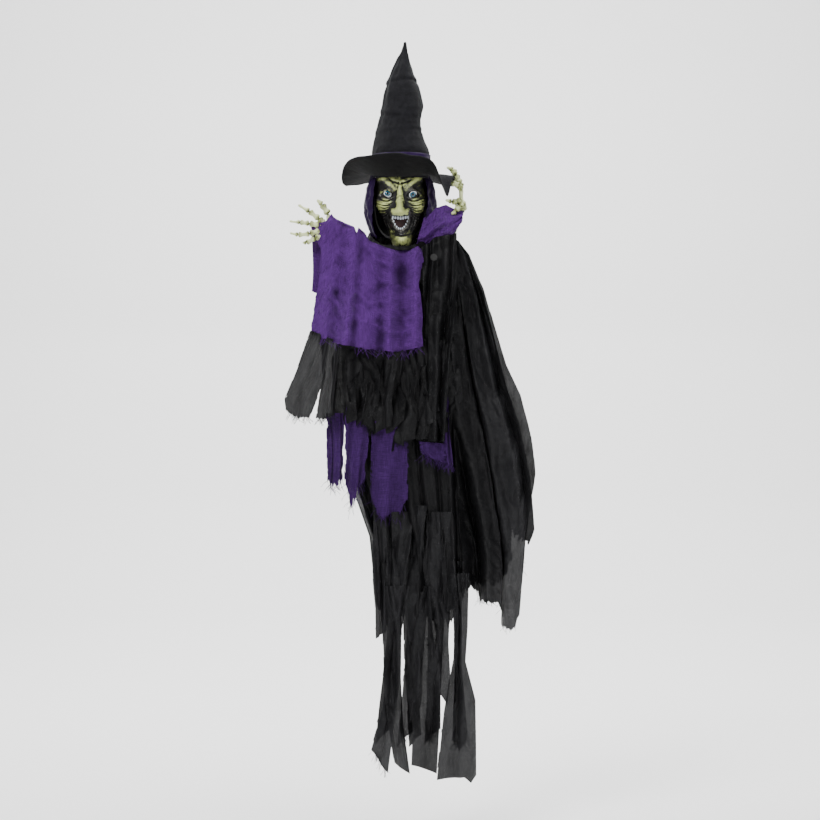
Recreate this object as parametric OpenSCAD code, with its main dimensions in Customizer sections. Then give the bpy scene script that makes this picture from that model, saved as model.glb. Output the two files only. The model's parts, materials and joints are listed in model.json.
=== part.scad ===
/* [Hanger] */
// Bore of the eye that the figure hangs by
eye_d = 8; // [5:0.5:10]
// Width of the steel hanger strap
strap_w = 20; // [18:1:24]
// Thickness of the steel hanger strap
strap_t = 3; // [2:0.5:4]
// Air between the hat brim and the wall plane through the eye
wall_gap = 5; // [3:1:20]

/* [Chest casing] */
// Width of the casing
chest_w = 80; // [74:1:96]
// Depth of the casing
chest_d = 70; // [66:1:84]
// Height of the casing
chest_h = 116; // [112:1:140]
// Wall of the casing
wall = 2.5; // [2:0.25:3]
// Drop from the hanger eye to the top of the casing
chest_drop = 24; // [20:1:30]

/* [Neck drive] */
// Diameter of the neck shaft
shaft_d = 10; // [8:0.5:12]
// Module of the head gear and its pinion
gear_m = 1; // [0.9:0.05:1.1]
// Teeth on the head gear
gear_teeth = 36; // [30:6:36]
// Teeth on the pinion
pinion_teeth = 12; // [12:1:14]
// Diameter of the motor
motor_d = 20; // [16:1:24]

/* [Head] */
// Width of the head shell
head_w = 85; // [76:1:90]
// Height of the head shell from the neck to the crown
head_h = 124; // [115:1:130]
// Wall of the mask and of the rear shell
head_wall = 2.5; // [2:0.25:3]
// Distance between the two eyes
eye_gap = 41; // [36:1:44]
// Diameter of each eyeball
eyeball_d = 17; // [14:0.5:19]

/* [Hat] */
// Radius of the crown at the brim
crown_r = 46; // [44:1:52]
// Height of the crown above the brim
crown_h = 214; // [150:2:260]
// Radius of the brim
brim_r = 95; // [86:1:96]
// Thickness of the felt
felt_t = 2.5; // [1.5:0.25:3]
// Rise of the brim's front and back edges
brim_lift = 21; // [0:1:40]
// Fall of the brim's side edges
brim_fall = 7; // [0:1:8]

/* [Arms] */
// Diameter of the arm rods
rod_d = 6; // [5:0.5:7]
// Distance between the two arm sockets
socket_gap = 116; // [110:1:124]

/* [Cloth] */
// Thickness that a hung cloth takes up with its folds
cloth_t = 4; // [2:0.5:5]
// Lowest point of the tattered robe below the eye
robe_drop = 872; // [760:2:900]
// Length of the purple shawl from the arm's height down
shawl_drop = 178; // [150:1:190]

/* [Battery bay] */
// Diameter of one AA cell
cell_d = 14.5; // [14:0.1:15]
// Length of one AA cell
cell_l = 50; // [49:0.5:51]
// Number of cells side by side
cell_count = 3; // [2:1:3]
// Diameter of the push button
button_d = 10; // [8:0.5:11]
// Travel of the push button
button_travel = 2; // [1:0.25:2.5]
// Travel of the power switch
switch_travel = 6; // [4:0.5:7]

/* [Hidden] */
$fn = 64;
run_gap = 0.05;      // radial clearance of a shaft in its bore
slide_gap = 0.2;     // clearance of a sliding or fitted piece
snug = 0.3;          // clearance between cloth and what moves past it

head_y = -(brim_r + wall_gap);
shaft_r = shaft_d / 2;
rod_r = rod_d / 2;
chest_top = -chest_drop;
chest_floor = chest_top - chest_h;
chest_front_y = head_y - chest_d / 2;
chest_back_y = head_y + chest_d / 2;
bar_t = 6;
bar_top = chest_top + bar_t;
bush_wall = 2.5;
bush_flange_t = 2;
arm_top = chest_top - 3;
arm_under = arm_top - strap_t;

gear_t = 7;
gear_top = chest_top - 16;
gear_r = gear_m * gear_teeth / 2;
pinion_r = gear_m * pinion_teeth / 2;
pinion_x = gear_r + pinion_r;
motor_shaft_r = 1.5;
plate_t = 3;
plate_top = gear_top - gear_t - 2;
motor_l = 45;

door_w = cell_count * (cell_d + 0.5) + 9;
bay_w = door_w - 6;
door_h = cell_l + 19;
door_t = 2;
door_top = chest_floor + 3 + door_h;
cell_y = chest_back_y - wall - cell_d / 2 - 4;
cell_z = chest_floor + wall + 6;
control_z = chest_top - 31;
control_x = strap_w / 2 + 16;
button_lip = 1.5;
tab_w = 4;

head_mid = head_h / 2;
eye_z = head_h * 0.58;
eye_y = head_y - head_w / 2 + 14.5;
mouth_z = head_h * 0.19;
mouth_w = 30;
mouth_h = 22;
chin_r = 15;
nose_tip_r = 8;
plate_seat = head_wall;
insert_t = 3;
insert_y = head_y - head_w / 2 + 12;

brim_z = 108;
hood_r = head_w / 2 + 17;
hood_in = head_w / 2 + 5;
hood_low = 10;
hood_top = 98;
collar_top = 2;

socket_x = socket_gap / 2;
socket_boss_r = rod_r + 4;
clip_t = 1.5;
post_r = 4;
post_inset = 6;

// Left arm: the rod's bends and the way the hand points off its end
left_elbow = [-(socket_x + 12), head_y - 34, 0];
left_wrist = [-(socket_x + 54), head_y - 52, 12];
left_aim = [-0.96, -0.16, 0.23];
// Right arm: the rod rises to the hand at the brim
right_elbow = [socket_x + 26, head_y - 8, 4];
right_wrist = [brim_r + 5.5, head_y - 18, 46];
wrist_boss_l = 16;
sleeve_r = 12;
knee = 0.6;          // extra radius of the rod where it is bent
rod_flange_t = 2;
collar_low = bar_top + rod_flange_t + snug;
collar_r = socket_x - rod_r - knee - 1.5;

shawl_top = 20;
chest_cloth_y = head_y - 55;
arm_cloth_y = head_y - 72;

// A straight round bar between two points, r1 at the first and r2 at the second
module bar(a, b, r1, r2) {
    d = b - a;
    translate(a) rotate([0, acos(d.z / norm(d)), atan2(d.y, d.x)])
        cylinder(h = norm(d), r1 = r1, r2 = r2);
}
// A chain of bones through a list of points that thins towards its tip
module finger(points, r1, r2) {
    n = len(points) - 1;
    for (i = [0 : n - 1]) hull() {
        translate(points[i]) sphere(r1 + (r2 - r1) * i / n, $fn = 16);
        translate(points[i + 1]) sphere(r1 + (r2 - r1) * (i + 1) / n, $fn = 16);
    }
}
module at_head() { translate([0, head_y, 0]) children(); }
module along_y(y, l, r) { translate([0, y, 0]) rotate([-90, 0, 0]) cylinder(h = l, r = r); }
// A hung cloth: an outline in X and Z with its front face at y
module hung(y, outline, t = cloth_t) {
    translate([0, y + t, 0]) rotate([90, 0, 0]) linear_extrude(t) polygon(outline);
}
module screw(r, l) {
    cylinder(h = l, r = r);
    translate([0, 0, l]) cylinder(h = 1.6, r = r * 1.9);
}

// Trapezoid gear teeth; shift turns the gear by a share of one tooth
function gear_outline(m, teeth, shift) = [
    for (i = [0 : teeth - 1])
        let (r = m * teeth / 2, pitch = 360 / teeth, root = r - 1.25 * m, tip = r + 0.85 * m)
            for (p = [[root, -0.33], [r, -0.21], [tip, -0.1], [tip, 0.1], [r, 0.21], [root, 0.33]])
                let (a = (i + shift + p.y) * pitch) [p.x * cos(a), p.x * sin(a)]
];
module gear(m, teeth, shift, bore_r) {
    linear_extrude(gear_t) difference() {
        polygon(gear_outline(m, teeth, shift));
        circle(bore_r);
    }
}

// ---- hanging ----
module hanger_bracket() color("silver") difference() {
    union() {
        rotate([90, 0, 0]) translate([0, 0, -strap_t / 2]) cylinder(h = strap_t, d = strap_w);
        translate([-strap_w / 2, -strap_t / 2, arm_under]) cube([strap_w, strap_t, -arm_under]);
        translate([-strap_w / 2, chest_back_y, arm_under])
            cube([strap_w, strap_t / 2 - chest_back_y, strap_t]);
        translate([-strap_w / 2, chest_back_y, arm_top - 33]) cube([strap_w, strap_t, 33]);
    }
    along_y(-strap_t, 2 * strap_t, eye_d / 2);
    for (z = [-12, -25]) translate([0, 0, arm_top + z]) along_y(chest_back_y - 1, strap_t + 2, 1.6);
}
module bracket_screws() color("gray") for (z = [-12, -25])
    translate([0, chest_back_y - wall - 1, arm_top + z]) rotate([-90, 0, 0])
        screw(1.55, strap_t + wall + 1);

// ---- chest casing ----
module case_half(back) {
    y0 = back ? head_y : chest_front_y;
    cut_y = back ? head_y - 1 : chest_front_y + wall;
    translate([0, 0, chest_floor]) difference() {
        translate([-chest_w / 2, y0, 0]) cube([chest_w, chest_d / 2, chest_h]);
        translate([-chest_w / 2 + wall, cut_y, wall])
            cube([chest_w - 2 * wall, chest_d / 2 - wall + 1, chest_h - 2 * wall]);
    }
}
module screw_places() for (x = [-1, 1], z = [chest_floor + 7, chest_top - 7])
    translate([x * (chest_w / 2 - post_inset), 0, z]) children();
module chest_front() color("dimgray") difference() {
    union() {
        case_half(false);
        screw_places() along_y(chest_front_y + wall / 2, chest_d / 2 - wall / 2, post_r);
    }
    at_head() translate([0, 0, chest_top - wall - 1]) cylinder(h = wall + 2, r = shaft_r + bush_wall + slide_gap);
    for (r = [0, 6, 12], i = [0 : max(1, r) - 1])
        translate([r * cos(360 * i / max(1, r)), 0, speaker_z + r * sin(360 * i / max(1, r))])
            along_y(chest_front_y - 1, wall + 2, 1);
    translate([-25, 0, sensor_z]) along_y(chest_front_y - 1, wall + 2, 4 + slide_gap);
    screw_places() along_y(head_y - 12, 13, 1.4);
}
speaker_z = chest_floor + 30;
sensor_z = chest_top - 30;
module chest_back() color("dimgray") difference() {
    union() {
        case_half(true);
        screw_places() along_y(head_y, chest_d / 2 - wall / 2, post_r);
        for (s = [-1, 1]) {
            translate([s * (door_w / 2 + slide_gap + 1.5) - 1.5, chest_back_y, chest_floor])
                cube([3, door_t + 2 * slide_gap + 1.5, door_h + 8]);
            translate([s * (door_w / 2 - 0.6) - 1.6, chest_back_y + door_t + 2 * slide_gap, chest_floor])
                cube([3.2, 1.5, door_h + 8]);
        }
    }
    at_head() translate([0, 0, chest_top - wall - 1]) cylinder(h = wall + 2, r = shaft_r + bush_wall + slide_gap);
    translate([-bay_w / 2, chest_back_y - wall - 1, chest_floor + wall + 2])
        cube([bay_w, wall + 2, door_h - 4]);
    screw_places() along_y(head_y - 1, chest_d / 2 + 2, 1.8);
    translate([control_x, 0, control_z]) along_y(chest_back_y - wall - 1, wall + 2, button_d / 2 + slide_gap);
    translate([-control_x - (tab_w + switch_travel) / 2 - slide_gap, chest_back_y - wall - 1,
               control_z - tab_w / 2 - slide_gap])
        cube([tab_w + switch_travel + 2 * slide_gap, wall + 2, tab_w + 2 * slide_gap]);
    for (z = [-12, -25]) translate([0, 0, arm_top + z]) along_y(chest_back_y - wall - 1, wall + 2, 1.6);
}
module case_screws() color("gray") screw_places()
    translate([0, chest_back_y, 0]) rotate([-90, 0, 0]) translate([0, 0, -chest_d / 2 - 10])
        screw(1.35, chest_d / 2 + 10);
module shoulder_bar() color("gray") difference() {
    union() {
        translate([-socket_x, head_y - 8, chest_top]) cube([socket_gap, 16, bar_t]);
        for (s = [-1, 1]) translate([s * socket_x, head_y, chest_top]) cylinder(h = bar_t, r = socket_boss_r);
    }
    for (s = [-1, 1]) translate([s * socket_x, head_y, chest_top - 1])
        cylinder(h = bar_t + 2, r = rod_r + run_gap);
    at_head() translate([0, 0, chest_top - 1]) cylinder(h = bar_t + 2, r = shaft_r + bush_wall);
}
module neck_bush() color("ivory") at_head() difference() {
    union() {
        translate([0, 0, chest_top - wall]) cylinder(h = bar_t + wall, r = shaft_r + bush_wall);
        translate([0, 0, bar_top]) cylinder(h = bush_flange_t, r = shaft_r + bush_wall + 2.5);
    }
    translate([0, 0, chest_top - wall - 1]) cylinder(h = bar_t + wall + 5, r = shaft_r + run_gap);
}
module motor_plate() color("dimgray") difference() {
    translate([-chest_w / 2 + wall, head_y - 14, plate_top - plate_t])
        cube([chest_w - 2 * wall, 28, plate_t]);
    at_head() translate([0, 0, plate_top - plate_t - 1]) cylinder(h = plate_t + 2, r = shaft_r + run_gap);
    translate([pinion_x, head_y, plate_top - plate_t - 1]) cylinder(h = plate_t + 2, r = motor_shaft_r + 1.5);
}
module motor() color("silver") translate([pinion_x, head_y, plate_top - plate_t]) difference() {
    translate([0, 0, -motor_l]) cylinder(h = motor_l, d = motor_d);
    translate([0, 0, -8]) cylinder(h = 9, r = motor_shaft_r + run_gap);
}
module motor_shaft() color("silver") translate([pinion_x, head_y, plate_top - plate_t - 7])
    cylinder(h = 7 + plate_t + 2 + gear_t, r = motor_shaft_r);
module drive_pinion() color("ivory") translate([pinion_x, head_y, gear_top - gear_t])
    gear(gear_m, pinion_teeth, pinion_teeth % 2 == 0 ? 0.5 : 0, motor_shaft_r);
module head_gear() color("ivory") at_head() translate([0, 0, gear_top - gear_t])
    gear(gear_m, gear_teeth, 0, shaft_r);
module neck_shaft() color("silver") at_head()
    translate([0, 0, plate_top - plate_t - 4]) cylinder(h = plate_seat + 8 - plate_top + plate_t + 4, r = shaft_r);
module speaker() color("black") translate([0, chest_front_y + wall, speaker_z]) rotate([-90, 0, 0]) {
    difference() {
        cylinder(h = 4, r = 18);
        translate([0, 0, -1]) cylinder(h = 4, r1 = 17, r2 = 8);
    }
    translate([0, 0, 4]) cylinder(h = 8, r = 9);
}
module sound_sensor() color("silver") translate([-25, 0, sensor_z]) along_y(chest_front_y - 0.5, 8, 4);
module circuit_board() color("green")
translate([post_inset + post_r - chest_w / 2, chest_front_y + 20, chest_floor + wall + 1]) {
    cube([46, 1.6, 42]);
    translate([8, 1.6, 10]) cube([10, 3, 10]);
    for (x = [26, 34]) translate([x, 1.6, 24]) rotate([-90, 0, 0]) cylinder(h = 7, r = 3);
}
function cell_x(i) = (i - (cell_count - 1) / 2) * (cell_d + 0.5);
module battery_cells() color("goldenrod") for (i = [0 : cell_count - 1])
    translate([cell_x(i), cell_y, cell_z]) {
        cylinder(h = cell_l - 1.5, d = cell_d);
        cylinder(h = cell_l, r = 2.7);
    }
module battery_contacts() color("silver") for (z = [cell_z - 0.8, cell_z + cell_l])
    translate([-bay_w / 2, cell_y - 6, z]) cube([bay_w, 12, 0.8]);
module battery_door() color("dimgray") difference() {
    translate([-door_w / 2, chest_back_y + slide_gap, door_top - door_h]) cube([door_w, door_t, door_h]);
    for (i = [0 : 3]) translate([-8, chest_back_y + slide_gap + door_t - 0.6, door_top - 12 + 2.5 * i])
        cube([16, 1, 1]);
}
module power_switch() color("black") translate([-control_x - switch_travel / 2, chest_back_y, control_z]) {
    translate([-tab_w / 2, -wall - 1, -tab_w / 2]) cube([tab_w, wall + 4, tab_w]);
    translate([-7, -wall - 3, -5]) cube([14, 2.8, 10]);
}
module push_button() color("firebrick") translate([control_x, 0, control_z]) {
    along_y(chest_back_y - wall - 1, wall + 1 + button_travel + 2, button_d / 2);
    along_y(chest_back_y - wall - slide_gap - button_lip, button_lip, button_d / 2 + 1.5);
}
spring_l = 8;
module button_spring() color("silver")
    translate([control_x, chest_back_y - wall - slide_gap - button_lip, control_z]) rotate([90, 0, 0])
        coil(3.2, 0.4, spring_l, 5);
// A round wire wound into a coil; turns full turns rise to height l
module coil(r, wire_r, l, turns) {
    n = turns * 14;
    sides = 8;
    points = [for (i = [0 : n]) let (a = 360 * turns * i / n, z = wire_r + (l - 2 * wire_r) * i / n)
        for (k = [0 : sides - 1]) let (b = 360 * k / sides)
            [(r + wire_r * cos(b)) * cos(a), (r + wire_r * cos(b)) * sin(a), z + wire_r * sin(b)]];
    faces = concat([[for (k = [sides - 1 : -1 : 0]) k]], [[for (k = [0 : sides - 1]) n * sides + k]],
        [for (i = [0 : n - 1], k = [0 : sides - 1]) let (a = i * sides, j = (k + 1) % sides)
            [a + k, a + j, a + sides + j, a + sides + k]]);
    polyhedron(points, [for (f = faces) [for (q = [len(f) - 1 : -1 : 0]) f[q]]]);
}

// ---- head ----
// Radius of the head shell at a height, a full oval
function head_r(z, w, h) = w / 2 * pow(max(0, 1 - pow(abs((z - head_mid) / (h / 2)), 2.6)), 1 / 2.6);
function head_side(w, h, low, high, n) = [for (i = [0 : n]) let (z = low + (high - low) * i / n)
    [head_r(z, w, h), z]];
module head_solid(w, h, low) polygon(concat([[0, low]], head_side(w, h, low, head_mid + h / 2 - 0.01, 24),
    [[0, head_mid + h / 2 - 0.01]]));
module head_wall_outline() difference() {
    head_solid(head_w, head_h, 0.5);
    head_solid(head_w - 2 * head_wall, head_h - 2 * head_wall, head_wall + 0.05);
    square([neck_hole_r, head_wall * 2], false);
}
neck_hole_r = shaft_r + 9;
module eye_places() for (s = [-1, 1]) translate([s * eye_gap / 2, eye_y, eye_z]) children();
module face_mask() color("darkkhaki") difference() {
    union() {
        at_head() rotate([0, 0, 180]) rotate_extrude(angle = 180, $fn = 72) head_wall_outline();
        difference() {
            union() {
                translate([4, head_y - 28, chin_r - 13]) sphere(chin_r);
                bar([0, head_y - head_w / 2 + 3, eye_z + 6], [0, head_y - head_w / 2 - 7, mouth_z + 15], 4.5, 7);
                translate([0, head_y - head_w / 2 - 7, mouth_z + 15]) sphere(nose_tip_r);
            }
            at_head() rotate_extrude($fn = 72)
                head_solid(head_w - 2 * head_wall, head_h - 2 * head_wall, head_wall + 0.05);
            translate([0, head_y + 20, -20]) cube([80, 40, 80], true);
            at_head() cylinder(h = 2 * head_wall, r = neck_hole_r);
        }
    }
    eye_places() sphere(eyeball_d / 2 + slide_gap);
    mouth_prism(head_y - 8, head_w);
}
// An upright oval the size of the open mouth, its back face at y
module mouth_prism(y, l) translate([0, y, mouth_z]) rotate([90, 0, 0]) linear_extrude(l)
    polygon([for (i = [0 : 23]) [mouth_w / 2 * cos(15 * i), mouth_h / 2 * sin(15 * i)]]);
module rear_head_shell() color("dimgray") at_head()
    rotate_extrude(angle = 180, $fn = 72) head_wall_outline();
module left_eye() color("white") translate([-eye_gap / 2, eye_y, eye_z]) eyeball();
module right_eye() color("white") translate([eye_gap / 2, eye_y, eye_z]) eyeball();
module eyeball() difference() {
    sphere(eyeball_d / 2);
    translate([0, led_back, 0]) along_y(0, 20, led_r + slide_gap);
}
led_r = 2.5;
led_back = 2;
module eye_leds() color("deepskyblue") eye_places() {
    along_y(led_back, eyeball_d / 2 + 3 - led_back, led_r);
}
module led_holder() color("dimgray") translate([-eye_gap / 2 - 8, eye_y + eyeball_d / 2 + 3, eye_z - 6])
    cube([eye_gap + 16, 2.5, 12]);
module mouth_insert() color("maroon") mouth_prism(insert_y + insert_t, insert_t);
tooth_w = 3.6;
tooth_h = 6;
// Height of the mouth's upper edge above its middle, over a tooth centred at x
function gum(x) = mouth_h / 2 * sqrt(1 - pow((abs(x) + tooth_w / 2) / (mouth_w / 2 - 0.5), 2));
module upper_teeth() color("aliceblue") for (i = [-2.5 : 2.5]) let (x = i * (tooth_w + 0.8))
    translate([x - tooth_w / 2, insert_y - 6, mouth_z + gum(x) - slide_gap - tooth_h]) cube([tooth_w, 6, tooth_h]);
module lower_teeth() color("aliceblue") for (i = [0 : 9]) let (a = 200 + 14 * i)
    translate([11.5 * cos(a), 0, mouth_z + 1 + 9 * sin(a)]) along_y(insert_y - 5, 5, 1);
module neck_plate() color("dimgray") at_head() difference() {
    translate([0, 0, head_wall]) cylinder(h = plate_seat, r = neck_hole_r);
    translate([0, 0, -1]) cylinder(h = 20, r = shaft_r);
}

// ---- hat ----
function crown_side(r, h) = [for (p = [[1, 0], [0.985, 0.15], [0.83, 0.35], [0.72, 0.5], [0.5, 0.67],
    [0.28, 0.82], [0.1, 0.94], [0.045, 1]]) [r * p.x, brim_z + h * p.y]];
module hat_crown() color("black") at_head() rotate_extrude($fn = 72) {
    inner = crown_side(crown_r - felt_t, crown_h - felt_t * 5);
    polygon(concat(crown_side(crown_r, crown_h), [[0, brim_z + crown_h], [0, brim_z + crown_h - felt_t * 5]],
        [for (i = [len(inner) - 1 : -1 : 0]) inner[i]]));
}
module hat_band() color("indigo") at_head() translate([0, 0, brim_z + 5]) difference() {
    cylinder(h = 24, r1 = crown_r + 1.6, r2 = crown_r + 0.9);
    translate([0, 0, -1]) cylinder(h = 26, r = crown_r);
}
function brim_height(a, s) = brim_z + pow(s, 1.5) * (brim_lift * pow(sin(a), 2) - brim_fall * pow(cos(a), 2));
module hat_brim() color("black") at_head() {
    n = 60;
    m = 6;
    seat_r = crown_r + 1;
    rings = concat([crown_r - felt_t], [for (j = [1 : m]) seat_r + (brim_r - seat_r) * (j - 1) / (m - 1)]);
    top = [for (r = rings, i = [0 : n - 1]) let (s = max(0, r - seat_r) / (brim_r - seat_r), a = 360 * i / n)
        [r * cos(a), r * sin(a), brim_height(a, s)]];
    count = len(top);
    low = [for (p = top) [p.x, p.y, p.z - felt_t]];
    skin = [for (j = [0 : m - 1], i = [0 : n - 1]) let (k = (i + 1) % n)
        [j * n + i, j * n + k, (j + 1) * n + k, (j + 1) * n + i]];
    rims = concat(
        [for (i = [0 : n - 1]) let (k = (i + 1) % n) [i, i + count, k + count, k]],
        [for (i = [0 : n - 1]) let (k = (i + 1) % n, e = m * n) [e + k, e + k + count, e + i + count, e + i]]);
    polyhedron(concat(top, low), concat(skin,
        [for (f = skin) [f[3] + count, f[2] + count, f[1] + count, f[0] + count]], rims));
}
module hood() color("indigo") at_head() rotate([0, 0, -48]) rotate_extrude(angle = 276, $fn = 72) polygon([
    [hood_in, hood_low], [hood_r - 4, hood_low], [hood_r, hood_low + 14], [hood_r, hood_top - 16],
    [hood_r - 6, hood_top], [hood_in, hood_top]]);
module collar() color("black") at_head() rotate_extrude($fn = 72)
    translate([hood_in - 1, collar_low]) square([collar_r - hood_in + 1, collar_top - collar_low]);

// ---- arms ----
left_end = left_wrist + left_aim * wrist_boss_l;
right_end = right_wrist + [0, 0, wrist_boss_l];
module rod_path(socket, bend, wrist, tip) {
    foot = socket + [0, 0, -5 - bar_t];
    top = socket + [0, 0, 8];
    translate(foot) cylinder(h = norm(top - foot), r = rod_r);
    translate(socket) cylinder(h = rod_flange_t, r = rod_r + 3);
    bar(top, bend, rod_r, rod_r);
    bar(bend, wrist, rod_r, rod_r);
    bar(wrist, tip, rod_r, rod_r);
    for (p = [top, bend, wrist]) translate(p) sphere(rod_r + knee);
}
module left_arm_rod() color("gray")
    rod_path([-socket_x, head_y, bar_top], left_elbow, left_wrist, left_end);
module right_arm_rod() color("gray")
    rod_path([socket_x, head_y, bar_top], right_elbow, right_wrist, right_end);
module rod_clip(s) translate([s * socket_x, head_y, chest_top - clip_t - slide_gap]) difference() {
    cylinder(h = clip_t, r = rod_r + 2.5);
    translate([0, 0, -1]) cylinder(h = clip_t + 2, r = rod_r);
}
module left_rod_clip() color("silver") rod_clip(-1);
module right_rod_clip() color("silver") rod_clip(1);

// A boss that turns on the plain end of an arm rod, placed along the rod
module wrist_boss(from, aim) {
    start = from + aim * (rod_r + 1);
    end = from + aim * (wrist_boss_l + 3);
    difference() {
        union() {
            bar(start, end, rod_r + 3, rod_r + 2.5);
            children();
        }
        bar(from, from + aim * (wrist_boss_l + 0.5), rod_r + run_gap, rod_r + run_gap);
    }
}
left_hand = left_wrist + [-24, -4, 7];
module left_palm() color("lightgoldenrodyellow") wrist_boss(left_wrist, left_aim)
    translate(left_hand + [-8, -3, -13]) cube([14, 6, 27]);
module left_fingers() color("lightgoldenrodyellow") {
    finger([left_hand + [0, 0, 16], left_hand + [1, -4, 24], left_hand + [5, -5, 31],
            left_hand + [5, -6, 39]], 3.6, 2.2);
    finger([left_hand + [-9, 0, 12], left_hand + [-16, -2, 19], left_hand + [-23, -3, 27],
            left_hand + [-28, -4, 33]], 3.4, 2.2);
    finger([left_hand + [-10, 0, 4], left_hand + [-20, -2, 6], left_hand + [-30, -3, 7],
            left_hand + [-41, -4, 8]], 3.4, 2.2);
    finger([left_hand + [-10, 0, -4], left_hand + [-19, -3, -8], left_hand + [-29, -4, -10],
            left_hand + [-38, -5, -7]], 3.4, 2.2);
    finger([left_hand + [-7, 0, -13], left_hand + [-11, -3, -20], left_hand + [-17, -4, -25],
            left_hand + [-22, -5, -27]], 3.4, 2.2);
}
palm_x = right_wrist.x + 1;
over_brim = brim_z + 9;
module right_palm() color("lightgoldenrodyellow") wrist_boss(right_wrist, [0, 0, 1])
    translate([palm_x - 4, right_wrist.y - 9, right_wrist.z + 8]) cube([8, 19, brim_z - 26 - right_wrist.z]);
module right_fingers() color("lightgoldenrodyellow") {
    reach = right_wrist;
    for (y = [-6, 5]) finger([[palm_x + 0.5, reach.y + y, brim_z - 17], [palm_x + 2, reach.y + y, over_brim - 7],
        [palm_x - 4, reach.y + y, over_brim], [palm_x - 14, reach.y + y, over_brim + 1],
        [palm_x - 24, reach.y + y, over_brim - 0.5]], 3, 2);
    finger([[palm_x - 3, reach.y - 10, brim_z - 22], [palm_x - 12, reach.y - 12, brim_z - 19],
        [palm_x - 20, reach.y - 12, brim_z - 16], [palm_x - 29, reach.y - 12, brim_z - 14]], 3, 2);
    finger([[palm_x - 4, reach.y - 8, brim_z - 46], [palm_x - 14, reach.y - 11, brim_z - 47],
        [palm_x - 28, reach.y - 11, brim_z - 46]], 3, 2);
    finger([[palm_x - 4, reach.y - 9, brim_z - 49], [palm_x - 9, reach.y - 16, brim_z - 57],
        [palm_x - 11, reach.y - 18, brim_z - 66], [palm_x - 20, reach.y - 19, brim_z - 67]], 3, 2);
}
module right_sleeve() color("indigo") difference() {
    bar(right_elbow, right_wrist, sleeve_r, sleeve_r);
    bar(right_elbow + (right_elbow - right_wrist), right_wrist + (right_wrist - right_elbow) * 0.5,
        rod_r + knee + slide_gap, rod_r + knee + slide_gap);
}

// ---- costume ----
module shawl_chest() color("indigo") hung(chest_cloth_y, [[-52, -8], [-10, -18], [36, -24],
    [30, -80], [36, -shawl_drop + 4], [-4, -shawl_drop], [-60, -shawl_drop + 2]]);
module shawl_arm() color("indigo") hung(arm_cloth_y, [[left_wrist.x - 6, shawl_top + 16],
    [-82, shawl_top], [-72, shawl_top - 10], [-72, -shawl_drop + 3], [-96, -shawl_drop + 6],
    [-145, -shawl_drop + 27], [-136, -104], [-124, -8]]);
module sleeve_flap() color("black") hung(arm_cloth_y + cloth_t + 3, [[-128, -60], [-146, -154], [-188, -257],
    [-186, -277], [-148, -291], [-128, -226], [-139, -288], [-108, -288], [-100, -60]], 3);
module bodice() color("black") hung(chest_front_y - 7, [[-58, bar_top - 8], [58, bar_top - 8],
    [66, -shawl_drop + 18], [-72, -shawl_drop + 18]]);
module waist_ruffle() color("black") hung(head_y - 50, [[-92, -shawl_drop + 12], [84, -shawl_drop + 12],
    [89, -240], [74, -300], [50, -324], [-10, -316], [-60, -310], [-100, -288], [-105, -230]], 13);
module purple_strips() color("indigo") {
    hung(head_y - 35.5, [[-118, -286], [-92, -286], [-92, -402], [-122, -400]], 2.5);
    hung(head_y - 35.5, [[-89, -286], [-55, -286], [-47, -390], [-75, -436], [-86, -400]], 2.5);
    hung(head_y - 35.5, [[-50, -286], [14, -286], [16, -440], [-10, -455], [-44, -430]], 2.5);
    hung(head_y - 35.5, [[66, -160], [84, -160], [84, -368], [71, -350]], 2.5);
}
module robe_front() color("black") hung(head_y - 31, [[-88, -shawl_drop + 14], [96, -shawl_drop + 14], [110, -400],
    [112, -590], [-36, -590], [-54, -445], [-84, -300]], 3);
module robe_tails() color("black") {
    xs = [-49, -16, 14, 44, 72, 106];
    ends = [0.985, 0.972, 0.99, 0.96, 1];
    for (i = [0 : 4]) hung(head_y - 27, [[xs[i] * 0.8, -560], [xs[i + 1] * 0.8 - 4, -560],
        [xs[i + 1] + (i == 4 ? 18 : -5), -robe_drop * ends[i] + 6], [xs[i] + 3, -robe_drop * ends[i]]], 3);
}
module robe_back() color("black") hung(chest_back_y + 13, [[-60, arm_under - 5], [60, arm_under - 5], [72, -640],
    [-40, -640], [-66, -300]], 3);
module cape_front() color("black") hung(head_y - 60, [[40, -26], [72, -26], [80, -160], [84, -330], [52, -330],
    [42, -150]], 3);
module cape_side() color("black") hung(head_y - 14, [[68, bar_top - 12], [94, bar_top - 8], [112, -32], [136, -87],
    [151, -146], [173, -235], [196, -298], [213, -387], [218, -437], [221, -469], [199, -507], [181, -581],
    [193, -613], [185, -635], [168, -629], [153, -594], [116, -590], [112, -200], [70, -150]]);
module cape_back() color("black") hung(chest_back_y + 20, [[-66, arm_under - 6], [80, arm_under - 6], [118, -120],
    [170, -420], [150, -590], [60, -560], [-50, -430]], 3);
module cape_stud() color("silver") translate([54, 0, -32]) along_y(head_y - 62.5, 2.5, 5.5);

hanger_bracket();
bracket_screws();
chest_front();
chest_back();
case_screws();
shoulder_bar();
neck_bush();
motor_plate();
motor();
speaker();
sound_sensor();
circuit_board();
battery_cells();
battery_contacts();
battery_door();
power_switch();
push_button();
button_spring();
neck_shaft();
head_gear();
motor_shaft();
drive_pinion();
neck_plate();
rear_head_shell();
face_mask();
mouth_insert();
upper_teeth();
lower_teeth();
left_eye();
right_eye();
eye_leds();
led_holder();
hat_crown();
hat_brim();
hat_band();
hood();
collar();
left_arm_rod();
left_rod_clip();
right_arm_rod();
right_rod_clip();
left_palm();
left_fingers();
right_palm();
right_fingers();
right_sleeve();
shawl_chest();
shawl_arm();
sleeve_flap();
bodice();
waist_ruffle();
purple_strips();
robe_front();
robe_back();
robe_tails();
cape_front();
cape_side();
cape_back();
cape_stud();
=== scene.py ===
"""Looks and soft parts of a hanging animated witch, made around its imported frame."""
import json
import math
import random

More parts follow.
